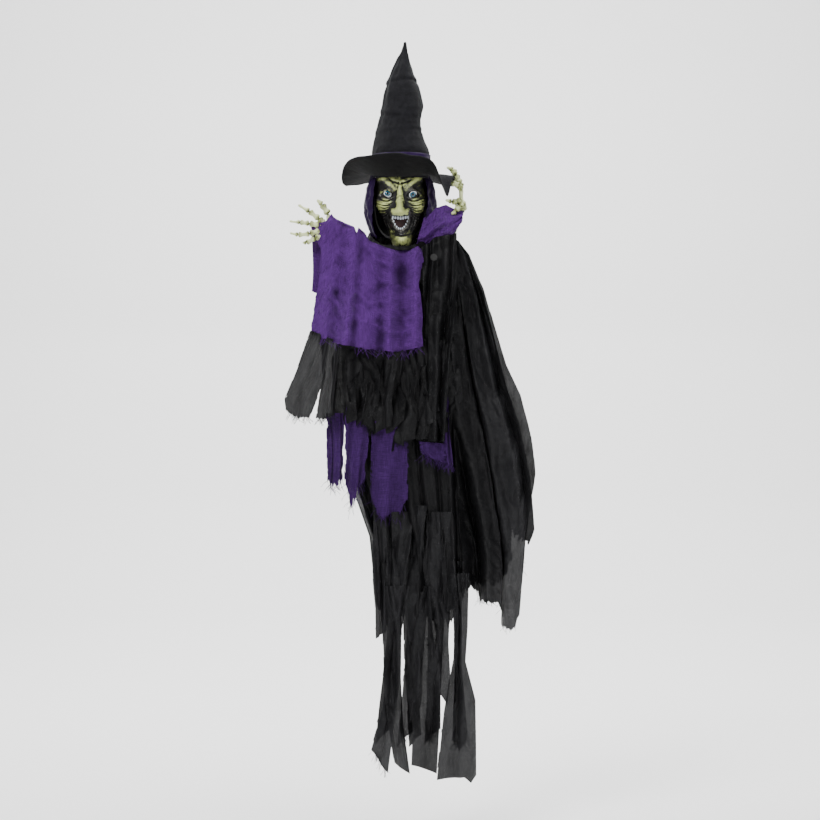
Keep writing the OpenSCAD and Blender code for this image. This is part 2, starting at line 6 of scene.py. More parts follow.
import bmesh
import bpy
import numpy as np
from bpy.props import FloatProperty, FloatVectorProperty, IntProperty, PointerProperty
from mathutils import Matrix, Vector


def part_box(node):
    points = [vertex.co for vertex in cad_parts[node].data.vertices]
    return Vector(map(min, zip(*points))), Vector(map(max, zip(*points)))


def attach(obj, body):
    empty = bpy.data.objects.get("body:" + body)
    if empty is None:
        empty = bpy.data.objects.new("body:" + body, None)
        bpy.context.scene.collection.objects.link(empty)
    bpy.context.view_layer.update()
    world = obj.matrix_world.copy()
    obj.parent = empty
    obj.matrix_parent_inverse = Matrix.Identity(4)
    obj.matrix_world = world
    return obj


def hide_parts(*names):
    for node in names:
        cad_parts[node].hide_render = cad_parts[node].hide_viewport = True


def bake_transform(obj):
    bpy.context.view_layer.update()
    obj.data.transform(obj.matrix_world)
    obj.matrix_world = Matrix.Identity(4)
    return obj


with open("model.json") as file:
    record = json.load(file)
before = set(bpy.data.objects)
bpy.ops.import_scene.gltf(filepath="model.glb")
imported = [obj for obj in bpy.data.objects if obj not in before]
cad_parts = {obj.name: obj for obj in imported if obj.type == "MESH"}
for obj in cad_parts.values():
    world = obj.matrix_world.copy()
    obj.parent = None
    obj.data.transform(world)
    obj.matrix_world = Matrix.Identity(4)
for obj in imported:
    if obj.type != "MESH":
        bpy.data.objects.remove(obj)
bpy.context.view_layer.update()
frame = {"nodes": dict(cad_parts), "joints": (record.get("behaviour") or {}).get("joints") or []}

bl_info = {
    "name": "Hanging Witch Costume",
    "version": (1, 0, 0),
    "blender": (4, 5, 0),
    "location": "View3D > Sidebar > Witch",
    "description": "Makes the hat, mask, hands and tattered clothes of a hanging witch",
    "category": "Add Mesh",
}

MM = 0.001
JOINT = {j["name"]: j for j in frame["joints"]}
NECK_Y = JOINT["head_turn"]["pos_m"][1] / MM
BRIM_LOW, BRIM_HIGH = (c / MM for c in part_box("hat_brim"))
CROWN_LOW, CROWN_HIGH = (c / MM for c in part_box("hat_crown"))
BRIM_R = (BRIM_HIGH.x - BRIM_LOW.x) / 2
CROWN_R = (CROWN_HIGH.x - CROWN_LOW.x) / 2
BRIM_Z = CROWN_LOW.z


# ---------------------------------------------------------------- numbers that vary smoothly
def lattice(seed):
    """A fixed table of random numbers for one seed."""
    return np.random.RandomState(seed).rand(96, 96)


LATTICES = [lattice(s) for s in range(12)]


def grain(x, y, seed=0):
    """Smooth noise from 0 to 1 over a plane; x and y are arrays counted in cells."""
    table = LATTICES[seed % 12]
    x, y = np.broadcast_arrays(np.asarray(x, float) + 17.3 * seed, np.asarray(y, float) + 5.1 * seed)
    i, j = np.floor(x).astype(int), np.floor(y).astype(int)
    a, b = x - i, y - j
    a, b = a * a * (3 - 2 * a), b * b * (3 - 2 * b)
    i0, i1, j0, j1 = i % 96, (i + 1) % 96, j % 96, (j + 1) % 96
    low = table[i0, j0] * (1 - a) + table[i1, j0] * a
    high = table[i0, j1] * (1 - a) + table[i1, j1] * a
    return low * (1 - b) + high * b


def rough(x, y, seed=0, octaves=4):
    """Layered noise about 0."""
    total, size = 0.0, 1.0
    for k in range(octaves):
        total = total + size * (grain(x * 2 ** k, y * 2 ** k, seed + k) - 0.5)
        size *= 0.5
    return total


def crumple(x, y, seed=0, octaves=3):
    """Sharp creases as in crushed thin cloth, about 0."""
    total, size = 0.0, 1.0
    for k in range(octaves):
        total = total + size * (0.5 - abs(2 * grain(x * 1.9 ** k, y * 1.9 ** k, seed + k) - 1))
        size *= 0.55
    return total


def bump(x, z, cx, cz, rx, rz):
    """A smooth round bump, 1 at its middle."""
    return np.exp(-((x - cx) / rx) ** 2 - ((z - cz) / rz) ** 2)


def along(x, z, points, width, sharp=2.0):
    """1 on a line through the points, fading over width and towards both ends."""
    best = np.full(np.shape(x), 1e9)
    place = np.zeros(np.shape(x))
    spans = [math.dist(a, b) for a, b in zip(points, points[1:])]
    start, whole = 0.0, sum(spans)
    for (a, b), span in zip(zip(points, points[1:]), spans):
        t = ((x - a[0]) * (b[0] - a[0]) + (z - a[1]) * (b[1] - a[1])) / span ** 2
        t = np.clip(t, 0, 1)
        d = np.hypot(x - a[0] - t * (b[0] - a[0]), z - a[1] - t * (b[1] - a[1]))
        near = d < best
        place = np.where(near, (start + t * span) / whole, place)
        best = np.where(near, d, best)
        start += span
    taper = np.clip(np.sin(np.pi * (0.04 + 0.92 * place)), 0, 1) ** 0.5
    return np.exp(-(best / width) ** sharp) * taper


def smooth_step(low, high, value):
    """0 at low, 1 at high, with soft ends."""
    t = np.clip((value - low) / (high - low), 0, 1)
    return t * t * (3 - 2 * t)


def line_at(points, t):
    """A smooth line through (x, z) points, at shares t of its height; returns x and z arrays."""
    points = np.array(points, float)
    steps = np.concatenate([[0], np.cumsum(np.hypot(*np.diff(points, axis=0).T))])
    steps /= steps[-1]
    return np.interp(t, steps, points[:, 0]), np.interp(t, steps, points[:, 1])


# ---------------------------------------------------------------- meshes
def new_object(name, mesh):
    """Puts a mesh into the scene."""
    mesh.name = name
    piece = bpy.data.objects.new(name, mesh)
    bpy.context.scene.collection.objects.link(piece)
    return piece


def surface(name, points, uv=None, wrap=False, keep=None, **fields):
    """A grid of points in millimetres, rows by columns, as a smooth mesh with its own UV map."""
    rows, cols = points.shape[:2]
    index = np.arange(rows * cols).reshape(rows, cols)
    right = np.roll(index, -1, 1) if wrap else index[:, 1:]
    left = index if wrap else index[:, :-1]
    quads = np.stack([left[:-1], right[:-1], right[1:], left[1:]], -1).reshape(-1, 4)
    if keep is not None:
        quads = quads[keep[:-1, :left.shape[1]].reshape(-1)]
    mesh = bpy.data.meshes.new(name)
    mesh.from_pydata((points.reshape(-1, 3) * MM).tolist(), [], quads.tolist())
    mesh.polygons.foreach_set("use_smooth", np.ones(len(quads), bool))
    if uv is not None:
        corner = np.empty(len(mesh.loops), int)
        mesh.loops.foreach_get("vertex_index", corner)
        layer = mesh.uv_layers.new(name="cloth")
        layer.data.foreach_set("uv", (uv.reshape(-1, 2)[corner] * MM).astype(np.float32).ravel())
    for field, values in fields.items():
        data = mesh.attributes.new(field, "FLOAT", "POINT")
        data.data.foreach_set("value", np.broadcast_to(values, points.shape[:2]).astype(np.float32).ravel())
    mesh.validate()
    return new_object(name, mesh)


def joined(name, pieces):
    """Several meshes as one object."""
    bpy.ops.object.select_all(action="DESELECT")
    for piece in pieces:
        piece.select_set(True)
    bpy.context.view_layer.objects.active = pieces[0]
    if len(pieces) > 1:
        bpy.ops.object.join()
    pieces[0].name = name
    pieces[0].data.name = name
    return pieces[0]


def outward(piece, wall=0.0):
    """Merges doubles, turns faces outwards, and gives the sheet a wall in millimetres if one is asked."""
    work = bmesh.new()
    work.from_mesh(piece.data)
    bmesh.ops.remove_doubles(work, verts=work.verts, dist=1e-6)
    bmesh.ops.recalc_face_normals(work, faces=work.faces)
    work.to_mesh(piece.data)
    work.free()
    if wall:
        solid = piece.modifiers.new("wall", "SOLIDIFY")
        solid.thickness = wall * MM
        solid.offset = -1
        plain(piece)
    return piece


def plain(piece):
    """Turns a piece with modifiers into a plain mesh."""
    bpy.context.view_layer.update()
    seen = piece.evaluated_get(bpy.context.evaluated_depsgraph_get())
    mesh = bpy.data.meshes.new_from_object(seen)
    piece.modifiers.clear()
    piece.data = mesh
    mesh.name = piece.name
    return piece


def tube(path, radii, sides=12):
    """Rings of points round a path, in millimetres, closed at both ends."""
    path, radii = np.array(path, float), np.array(radii, float)
    ahead = np.gradient(path, axis=0)
    ahead /= np.linalg.norm(ahead, axis=1)[:, None]
    side = np.cross(ahead, [0.31, 0.83, 0.46])
    side /= np.linalg.norm(side, axis=1)[:, None]
    up = np.cross(ahead, side)
    turn = np.linspace(0, 2 * np.pi, sides, endpoint=False)
    ring = np.cos(turn)[None, :, None] * side[:, None] + np.sin(turn)[None, :, None] * up[:, None]
    points = path[:, None] + ring * radii[:, None, None]
    ends = [np.repeat(path[k][None, None], sides, 1) for k in (0, -1)]
    return np.concatenate([ends[0], points, ends[1]])


def ride_as(piece, body, slot, material, *nodes):
    """Gives a finished piece its body and its finish, and hides the frame parts that it stands for; its slot
    is not used.
    """
    piece.data.materials.clear()
    piece.data.materials.append(material)
    if body:
        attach(piece, body)
    if nodes:
        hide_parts(*nodes)
    return piece


# ---------------------------------------------------------------- shading tools
class Nodes:
    """Short calls for building a material or a shader group."""

    def __init__(self, tree):
        self.tree = tree

    def add(self, kind, inputs=None, **settings):
        node = self.tree.nodes.new(kind)
        for key, value in settings.items():
            setattr(node, key, value)
        for key, value in (inputs or {}).items():
            self.feed(node.inputs[key], value)
        return node

    def feed(self, socket, value):
        if isinstance(value, bpy.types.NodeSocket):
            self.tree.links.new(value, socket)
        else:
            socket.default_value = value

    def math(self, operation, a, b=0.0, c=0.0, clamp=False):
        return self.add("ShaderNodeMath", {0: a, 1: b, 2: c}, operation=operation,
                        use_clamp=clamp).outputs[0]

    def mix(self, factor, a, b, how="MIX"):
        node = self.add("ShaderNodeMix", data_type="RGBA", blend_type=how, clamp_factor=True)
        for key, value in ((0, factor), (6, a), (7, b)):
            if key and not isinstance(value, bpy.types.NodeSocket):
                value = (*value[:3], 1.0)
            self.feed(node.inputs[key], value)
        return node.outputs[2]

    def span(self, value, low, high, to_low=0.0, to_high=1.0):
        return self.add("ShaderNodeMapRange", {0: value, 1: low, 2: high, 3: to_low, 4: to_high},
                        clamp=True).outputs[0]

    def noise(self, place, scale, detail=3.0, rough=0.5, stretch=None):
        if stretch:
            place = self.add("ShaderNodeMapping", {"Vector": place, "Scale": stretch}).outputs[0]
        return self.add("ShaderNodeTexNoise", {"Vector": place, "Scale": scale, "Detail": detail,
                                               "Roughness": rough}).outputs["Fac"]

    def field(self, name):
        return self.add("ShaderNodeAttribute", attribute_name=name, attribute_type="GEOMETRY").outputs["Fac"]


def shader_group(name, inputs, outputs, build):
    """A shared effect; build(nodes, input sockets) returns the values of the outputs."""
    tree = bpy.data.node_groups.new(name, "ShaderNodeTree")
    for label, kind, default in inputs:
        socket = tree.interface.new_socket(name=label, in_out="INPUT", socket_type=kind)
        if default is not None:
            socket.default_value = default
    for label, kind in outputs:
        tree.interface.new_socket(name=label, in_out="OUTPUT", socket_type=kind)
    nodes = Nodes(tree)
    enter = nodes.add("NodeGroupInput")
    leave = nodes.add("NodeGroupOutput")
    for socket, value in zip(leave.inputs, build(nodes, enter.outputs)):
        nodes.feed(socket, value)
    return tree


FLOAT, VECTOR, COLOR = "NodeSocketFloat", "NodeSocketVector", "NodeSocketColor"


def weave_group():
    """Threads of a cloth: height of the threads, the holes between them, and uneven yarn."""
    def build(n, given):
        part = n.add("ShaderNodeSeparateXYZ", {0: given["Place"]})
        waves = []
        for axis, stretch in ((0, (9.0, 0.5, 1.0)), (1, (0.5, 9.0, 1.0))):
            slub = n.noise(given["Place"], 260.0, 2.0, stretch=stretch)
            shift = n.math("MULTIPLY", n.math("SUBTRACT", slub, 0.5), 2.2)
            count = n.math("MULTIPLY", part.outputs[axis], given["Threads per metre"])
            turn = n.math("MULTIPLY", n.math("ADD", count, shift), 2 * math.pi)
            waves.append(n.math("ABSOLUTE", n.math("COSINE", n.math("MULTIPLY", turn, 0.5))))
        height = n.math("MAXIMUM", waves[0], waves[1])
        gap = n.math("MULTIPLY", n.math("LESS_THAN", waves[0], given["Gap"]),
                     n.math("LESS_THAN", waves[1], given["Gap"]))
        yarn_a = n.noise(given["Place"], 420.0, 3.0, 0.7, (0.12, 2.2, 1.0))
        yarn_b = n.noise(given["Place"], 420.0, 3.0, 0.7, (2.2, 0.12, 1.0))
        return height, gap, n.math("MULTIPLY", n.math("ADD", yarn_a, yarn_b), 0.5)
    return shader_group("Cloth weave", [("Place", VECTOR, None), ("Threads per metre", FLOAT, 900.0),
                                        ("Gap", FLOAT, 0.3)],
                        [("Height", FLOAT), ("Hole", FLOAT), ("Yarn", FLOAT)], build)


def dust_group():
    """Grime that gathers in patches, with fine specks."""
    def build(n, given):
        patch = n.noise(given["Place"], n.math("MULTIPLY", given["Scale"], 1.0), 4.0, 0.6)
        fine = n.noise(given["Place"], n.math("MULTIPLY", given["Scale"], 26.0), 2.0)
        speck = n.math("GREATER_THAN", fine, given["Speck level"])
        return n.span(patch, 0.35, 0.7), speck
    return shader_group("Dust and specks", [("Place", VECTOR, None), ("Scale", FLOAT, 20.0),
                                            ("Speck level", FLOAT, 0.7)],
                        [("Patch", FLOAT), ("Speck", FLOAT)], build)


GROUPS = {}


def group(nodes, name, **inputs):
    makers = {"weave": weave_group, "dust": dust_group}
    if name not in GROUPS:
        GROUPS[name] = makers[name]()
    node = nodes.add("ShaderNodeGroup", node_tree=GROUPS[name])
    for key, value in inputs.items():
        nodes.feed(node.inputs[key.replace("_", " ")], value)
    return node.outputs


def material(name, build, **fixed):
    """A material: build(nodes, place, flat) returns what feeds the shader, fixed values go on its sockets."""
    made = bpy.data.materials.get(name)
    if made:
        return made
    made = bpy.data.materials.new(name)
    made.use_nodes = True
    nodes = Nodes(made.node_tree)
    shader = made.node_tree.nodes["Principled BSDF"]
    where = nodes.add("ShaderNodeTexCoord")
    fed = build(nodes, where.outputs["Object"], where.outputs["UV"])
    height = fed.pop("Height", None)
    if height is not None:
        distance = fed.pop("Depth", 0.0005)
        fed["Normal"] = nodes.add("ShaderNodeBump", {"Strength": fed.pop("Strength", 0.6),
                                                     "Distance": distance,
                                                     "Height": height}).outputs[0]
    for key, value in {**fixed, **fed}.items():
        nodes.feed(shader.inputs[key.replace("_", " ")], value)
    return made


def tone(color, factor):
    """A colour made lighter or darker."""
    return tuple(c * factor for c in color[:3])


# ---------------------------------------------------------------- finishes
def gauze(name, color, threads=620.0):
    """Loose purple gauze with uneven yarn, small holes and painted shade in its folds."""
    def build(n, place, flat):
        height, hole, yarn = group(n, "weave", Place=flat, Threads_per_metre=threads, Gap=0.16)
        patch, speck = group(n, "dust", Place=place, Scale=34.0, Speck_level=0.73)
        base = n.mix(n.span(yarn, 0.36, 0.64), tone(color, 0.45), tone(color, 1.7))
        base = n.mix(n.math("MULTIPLY", patch, 0.4), base, tone(color, 0.7))
        # Painted shade: the gauze is darkened where its folds lie back.
        base = n.mix(n.math("MULTIPLY", n.field("hollow"), 0.75), base, tone(color, 0.22))
        base = n.mix(n.math("MULTIPLY", speck, 0.18), base, tone(color, 3.0))
        rise = n.math("ADD", n.math("MULTIPLY", height, 0.4), yarn)
        return {"Base Color": base, "Height": rise, "Depth": 0.0006, "Strength": 0.75,
                "Alpha": n.math("SUBTRACT", 1.0, n.math("MULTIPLY", hole, 0.12)),
                "Roughness": n.span(yarn, 0.2, 0.8, 0.8, 0.95)}
    return material(name, build, Sheen_Weight=0.02, Sheen_Roughness=0.5, Specular_IOR_Level=0.06)


def satin(name, color):
    """Dark satin with a soft shine that changes over fine ribs."""
    def build(n, place, flat):
        rib = n.noise(flat, 900.0, 2.0, 0.5, (0.06, 1.0, 1.0))
        soft = n.noise(place, 30.0, 4.0)
        _, speck = group(n, "dust", Place=place, Scale=45.0, Speck_level=0.76)
        base = n.mix(n.span(soft, 0.3, 0.7), tone(color, 0.7), tone(color, 1.25))
        # Painted shade: the satin is darkened where its folds lie back.
        base = n.mix(n.math("MULTIPLY", n.field("hollow"), 0.7), base, tone(color, 0.25))
        base = n.mix(n.math("MULTIPLY", speck, 0.12), base, tone(color, 3.0))
        return {"Base Color": base, "Height": n.math("ADD", rib, n.math("MULTIPLY", soft, 0.6)),
                "Depth": 0.0004, "Strength": 0.35, "Roughness": n.span(rib, 0.3, 0.7, 0.42, 0.58)}
    return material(name, build, Sheen_Weight=0.03, Sheen_Roughness=0.4, Specular_IOR_Level=0.16)


def thin_black(name, color, sheer=0.25):
    """Thin crinkled black cloth that lets light through, with a fine plain weave, painted highlights along
    its creases, thin parts painted lighter for the light shining through, and painted shade in its folds.
    """
    def build(n, place, flat):
        height, hole, yarn = group(n, "weave", Place=flat, Threads_per_metre=1500.0, Gap=0.24)
        crease = n.noise(place, 55.0, 5.0, 0.65, (1.6, 1.6, 0.55))
        fold = n.math("ABSOLUTE", n.math("SUBTRACT", crease, 0.5))
        _, speck = group(n, "dust", Place=place, Scale=28.0, Speck_level=0.78)
        base = n.mix(n.span(yarn, 0.35, 0.65), tone(color, 0.5), tone(color, 1.6))
        # Painted highlight: lighter lines along the creases.
        base = n.mix(n.span(fold, 0.0, 0.03, 0.45, 0.0), base, tone(color, 3.6))
        # Painted light: thin cloth is made lighter grey for the light that shines through it.
        base = n.mix(n.math("MULTIPLY", n.field("thin"), 0.32), base, tone(color, 9.0))
        # Painted shade: darker where the folds lie back.
        base = n.mix(n.math("MULTIPLY", n.field("hollow"), 0.95), base, tone(color, 0.12))
        base = n.mix(n.math("MULTIPLY", speck, 0.3), base, tone(color, 7.0))
        thin = n.math("MULTIPLY", n.field("thin"), n.span(crease, 0.35, 0.62, 0.55, 1.15))
        clear = n.math("ADD", n.math("MULTIPLY", thin, sheer), n.math("MULTIPLY", hole, 0.05))
        rise = n.math("ADD", n.math("MULTIPLY", fold, -2.2), n.math("MULTIPLY", height, 0.05))
        return {"Base Color": base, "Height": rise, "Depth": 0.0016, "Strength": 0.7,
                "Alpha": n.math("SUBTRACT", 1.0, clear, clamp=True),
                "Roughness": n.span(crease, 0.3, 0.7, 0.42, 0.62)}
    return material(name, build, Specular_IOR_Level=0.12)


def felt(name, color):
    """Pressed charcoal felt: matted fibres, pilling and pale lint, with painted shade that makes the brim's
    underside near black.
    """
    def build(n, place, flat):
        nap = n.noise(place, 900.0, 4.0, 0.75)
        matted = n.noise(place, 130.0, 4.0, 0.65)
        _, speck = group(n, "dust", Place=place, Scale=30.0, Speck_level=0.72)
        base = n.mix(n.span(matted, 0.35, 0.65), tone(color, 0.7), tone(color, 1.35))
        base = n.mix(n.math("MULTIPLY", n.span(nap, 0.5, 0.75), 0.5), base, tone(color, 2.3))
        base = n.mix(n.math("MULTIPLY", speck, 0.35), base, tone(color, 6.0))
        # Painted shade: the brim's underside is made near black.
        base = n.mix(n.field("under"), base, tone(color, 0.12))
        rise = n.math("ADD", nap, n.math("MULTIPLY", matted, 1.4))
        return {"Base Color": base, "Height": rise, "Depth": 0.0009, "Strength": 0.8,
                "Roughness": n.span(nap, 0.3, 0.7, 0.85, 1.0)}
    return material(name, build, Sheen_Weight=0.04, Sheen_Roughness=0.6, Specular_IOR_Level=0.1)


def painted_skin(name, light, middle, dark):
    """Moulded skin: painted highlight on the raised folds, a black wash together with painted shade in the
    grooves, and dry brushed grey.
    """
    def build(n, place, flat):
        fine = n.noise(place, 420.0, 5.0, 0.65)
        cloud = n.noise(place, 95.0, 4.0, 0.6)
        groove = n.math("ADD", n.field("groove"), n.span(cloud, 0.3, 0.7, -0.12, 0.12))
        base = n.mix(n.span(cloud, 0.35, 0.65), middle, light)
        # Painted highlight: raised folds, the top of the nose and the cheekbones are made lighter.
        base = n.mix(n.span(n.field("ridge"), 0.1, 0.8), base, tone(light, 1.4))
        # Grooves darkened: the black wash together with painted shade.
        base = n.mix(n.span(groove, 0.05, 0.45), base, tone(middle, 0.55))
        base = n.mix(n.span(groove, 0.3, 0.8), base, dark)
        # Black paint and painted shade, with painted highlight where the value is below zero.
        soot = n.math("ADD", n.field("soot"), n.span(fine, 0.3, 0.7, -0.18, 0.18))
        base = n.mix(n.span(soot, 0.25, 0.75), base, dark)
        brushed = n.math("MULTIPLY", n.span(soot, 0.4, 0.8), n.span(n.field("ridge"), 0.05, 0.6))
        base = n.mix(n.math("MULTIPLY", brushed, n.span(fine, 0.4, 0.65)), base, (0.17, 0.165, 0.15))
        return {"Base Color": base, "Height": n.math("ADD", fine, cloud), "Depth": 0.0005, "Strength": 0.5,
                "Roughness": n.span(groove, 0.0, 0.8, 0.33, 0.75)}
    return material(name, build, Specular_IOR_Level=0.5, Subsurface_Weight=0.0)


def painted_bone(name, light, dark):
    """Ivory green plastic bone with an olive wash round the knuckles."""
    def build(n, place, flat):
        fine = n.noise(place, 600.0, 4.0, 0.6)
        blot = n.noise(place, 210.0, 3.0, 0.6)
        wash = n.math("ADD", n.field("groove"), n.span(blot, 0.35, 0.65, -0.35, 0.4))
        base = n.mix(n.span(fine, 0.3, 0.7), tone(light, 0.85), tone(light, 1.1))
        base = n.mix(n.span(wash, 0.3, 1.0, 0.0, 0.9), base, dark)
        base = n.mix(n.span(wash, 1.0, 1.35), base, tone(dark, 0.2))
        return {"Base Color": base, "Height": n.math("ADD", fine, blot), "Depth": 0.0004, "Strength": 0.5,
                "Roughness": n.span(wash, 0.0, 1.0, 0.35, 0.65)}
    return material(name, build, Specular_IOR_Level=0.4)


def lit_eye(name, iris_color, aim):
    """A glossy eyeball; the iris is drawn by each point's distance from where the eye looks."""
    def build(n, place, flat):
        across = n.add("ShaderNodeVectorMath", {0: place, 1: (aim[0], 0.0, aim[1])},
                       operation="SUBTRACT").outputs[0]
        across = n.add("ShaderNodeVectorMath", {0: across, 1: (1000.0, 0.0, 1000.0)},
                       operation="MULTIPLY").outputs[0]
        away = n.add("ShaderNodeVectorMath", {0: across}, operation="LENGTH").outputs["Value"]
        streak = n.noise(place, 1500.0, 2.0)
        white = n.mix(n.span(n.noise(place, 260.0, 3.0), 0.5, 0.75), (0.8, 0.86, 0.9), (0.62, 0.68, 0.75))
        white = n.mix(n.span(away, 5.6, 7.6), white, (0.16, 0.14, 0.13))
        iris = n.mix(n.span(streak, 0.35, 0.65), tone(iris_color, 0.5), tone(iris_color, 1.7))
        iris = n.mix(n.span(away, 3.6, 4.6), iris, tone(iris_color, 0.12))
        base = n.mix(n.span(away, 4.5, 4.9), iris, white)
        base = n.mix(n.span(away, 1.9, 2.5, 1.0, 0.0), base, (0.001, 0.003, 0.005))
        glow = n.mix(n.span(away, 4.3, 5.0), base, (0.01, 0.02, 0.03))
        return {"Base Color": base, "Emission Color": glow, "Height": streak, "Depth": 0.00002,
                "Roughness": n.span(away, 0.0, 8.0, 0.06, 0.2)}
    return material(name, build, Emission_Strength=0.12, Coat_Weight=0.6, Coat_Roughness=0.05)


def enamel(name, color, stain):
    """Small glossy teeth, stained where they leave the gum."""
    def build(n, place, flat):
        cloud = n.noise(place, 500.0, 3.0)
        base = n.mix(n.span(n.field("groove"), 0.3, 1.0), color, stain)
        base = n.mix(n.span(cloud, 0.45, 0.75, 0.0, 0.35), base, tone(stain, 1.6))
        return {"Base Color": base, "Height": cloud, "Depth": 0.0002,
                "Roughness": n.span(cloud, 0.3, 0.7, 0.15, 0.35)}
    return material(name, build, Coat_Weight=0.4, Coat_Roughness=0.1)


def moulded(name, color, roughness=0.5, scale=700.0):
    """Moulded plastic with a fine grain, faint flow marks and dust."""
    def build(n, place, flat):
        fine = n.noise(place, scale, 3.0, 0.6)
        flow = n.noise(place, 22.0, 3.0, 0.5, (1.0, 1.0, 0.3))
        patch, speck = group(n, "dust", Place=place, Scale=16.0, Speck_level=0.76)
        base = n.mix(n.span(flow, 0.3, 0.7), tone(color, 0.8), tone(color, 1.2))
        base = n.mix(n.math("MULTIPLY", speck, 0.25), base, (0.4, 0.39, 0.37))
        return {"Base Color": base, "Height": fine, "Depth": 0.0001, "Strength": 0.3,
                "Roughness": n.span(n.math("ADD", fine, patch), 0.4, 1.4, roughness - 0.08, roughness
                                    + 0.15)}
    return material(name, build)


def brushed(name, color, roughness=0.35, dull=0.3):
    """Drawn metal with fine lines, and duller patches from handling."""
    def build(n, place, flat):
        line = n.noise(place, 800.0, 3.0, 0.6, (1.0, 1.0, 0.05))
        patch, speck = group(n, "dust", Place=place, Scale=40.0, Speck_level=0.75)
        base = n.mix(n.math("MULTIPLY", patch, dull), color, tone(color, 0.45))
        base = n.mix(n.math("MULTIPLY", speck, 0.4), base, (0.13, 0.08, 0.05))
        return {"Base Color": base, "Height": line, "Depth": 0.00008, "Strength": 0.4,
                "Roughness": n.span(n.math("ADD", line, patch), 0.4, 1.5, roughness - 0.1, roughness + 0.2)}
    return material(name, build, Metallic=1.0)


def cell_jacket(name, low_z, high_z):
    """A shrunk cell sleeve in two colours, split at a height."""
    def build(n, place, flat):
        height = n.add("ShaderNodeSeparateXYZ", {0: place}).outputs[2]
        split = low_z + 0.3 * (high_z - low_z)
        soft = n.noise(place, 300.0, 3.0)
        base = n.mix(n.math("GREATER_THAN", height, split), (0.46, 0.2, 0.035), (0.03, 0.03, 0.033))
        base = n.mix(n.span(soft, 0.55, 0.8, 0.0, 0.3), base, (0.3, 0.28, 0.26))
        return {"Base Color": base, "Height": soft, "Depth": 0.00005,
                "Roughness": n.span(soft, 0.3, 0.7, 0.22, 0.4)}
    return material(name, build, Coat_Weight=0.3, Metallic=0.3)


def painted_wall(name, color):
    """Matt paint with a faint unevenness, for the floor and the backdrop."""
    def build(n, place, flat):
        soft = n.noise(place, 3.0, 3.0)
        return {"Base Color": n.mix(soft, tone(color, 0.985), color), "Height": n.noise(place, 90.0),
                "Depth": 0.0002, "Strength": 0.1, "Roughness": n.span(soft, 0.3, 0.7, 0.8, 0.9)}
    return material(name, build)


# ---------------------------------------------------------------- settings
class HatSettings(bpy.types.PropertyGroup):
    """The tall felt hat."""
    tip: FloatProperty(name="Tip height", description="Height of the hat's point above the hanger",
                       default=0.321, unit="LENGTH")
    lift: FloatProperty(name="Brim lift", description="How far the front of the brim is tipped up",
                        default=0.0212, unit="LENGTH")
    droop: FloatProperty(name="Brim droop", description="How far the sides of the brim hang down",
                         default=0.007, unit="LENGTH")
    felt: FloatProperty(name="Felt", description="Thickness of the felt", default=0.0022, unit="LENGTH")
    dents: FloatProperty(name="Dents", description="Depth of the dents in the crown",
                         default=0.006, unit="LENGTH")


class FaceSettings(bpy.types.PropertyGroup):
    """The painted mask and its eyes."""
    relief: FloatProperty(name="Relief", description="How strongly the wrinkles are modelled",
                          default=1.0, min=0.0, max=1.5)
    iris: FloatVectorProperty(name="Iris", description="Colour of the irises", subtype="COLOR",
                              default=(0.004, 0.075, 0.13), min=0.0, max=1.0)
    teeth: IntProperty(name="Lower teeth", description="Teeth in the lower row", default=13, min=5, max=15)


class HandSettings(bpy.types.PropertyGroup):
    """The bony hands."""
    bone: FloatProperty(name="Bone", description="Radius of the thickest finger bone",
                        default=0.0046, unit="LENGTH")
    knuckle: FloatProperty(name="Knuckle", description="How much wider a knuckle is than its bone",
                           default=1.45, min=1.0, max=2.0)


class ClothSettings(bpy.types.PropertyGroup):
    """The tattered clothes."""
    fold: FloatProperty(name="Folds", description="Depth of the large folds", default=1.0, min=0.0, max=2.0)
    crease: FloatProperty(name="Creases", description="Depth of the small creases", default=1.0,
                          min=0.0, max=2.0)
    fray: FloatProperty(name="Fray", description="How far the torn edges wander", default=0.002,
                        unit="LENGTH")
    threads: IntProperty(name="Threads", description="Loose threads along a torn edge", default=46,
                         min=0, max=200)
    sheer: FloatProperty(name="Sheer", description="How much light the thin black cloth lets through",
                         default=0.016, min=0.0, max=0.9)
    seed: IntProperty(name="Seed", description="Which set of wrinkles and tears is made", default=4)


def color_of(red, green, blue):
    """A colour given as it is seen, turned into light values."""
    def line(v):
        v /= 255
        return v / 12.92 if v <= 0.04045 else ((v + 0.055) / 1.055) ** 2.4
    return line(red), line(green), line(blue)


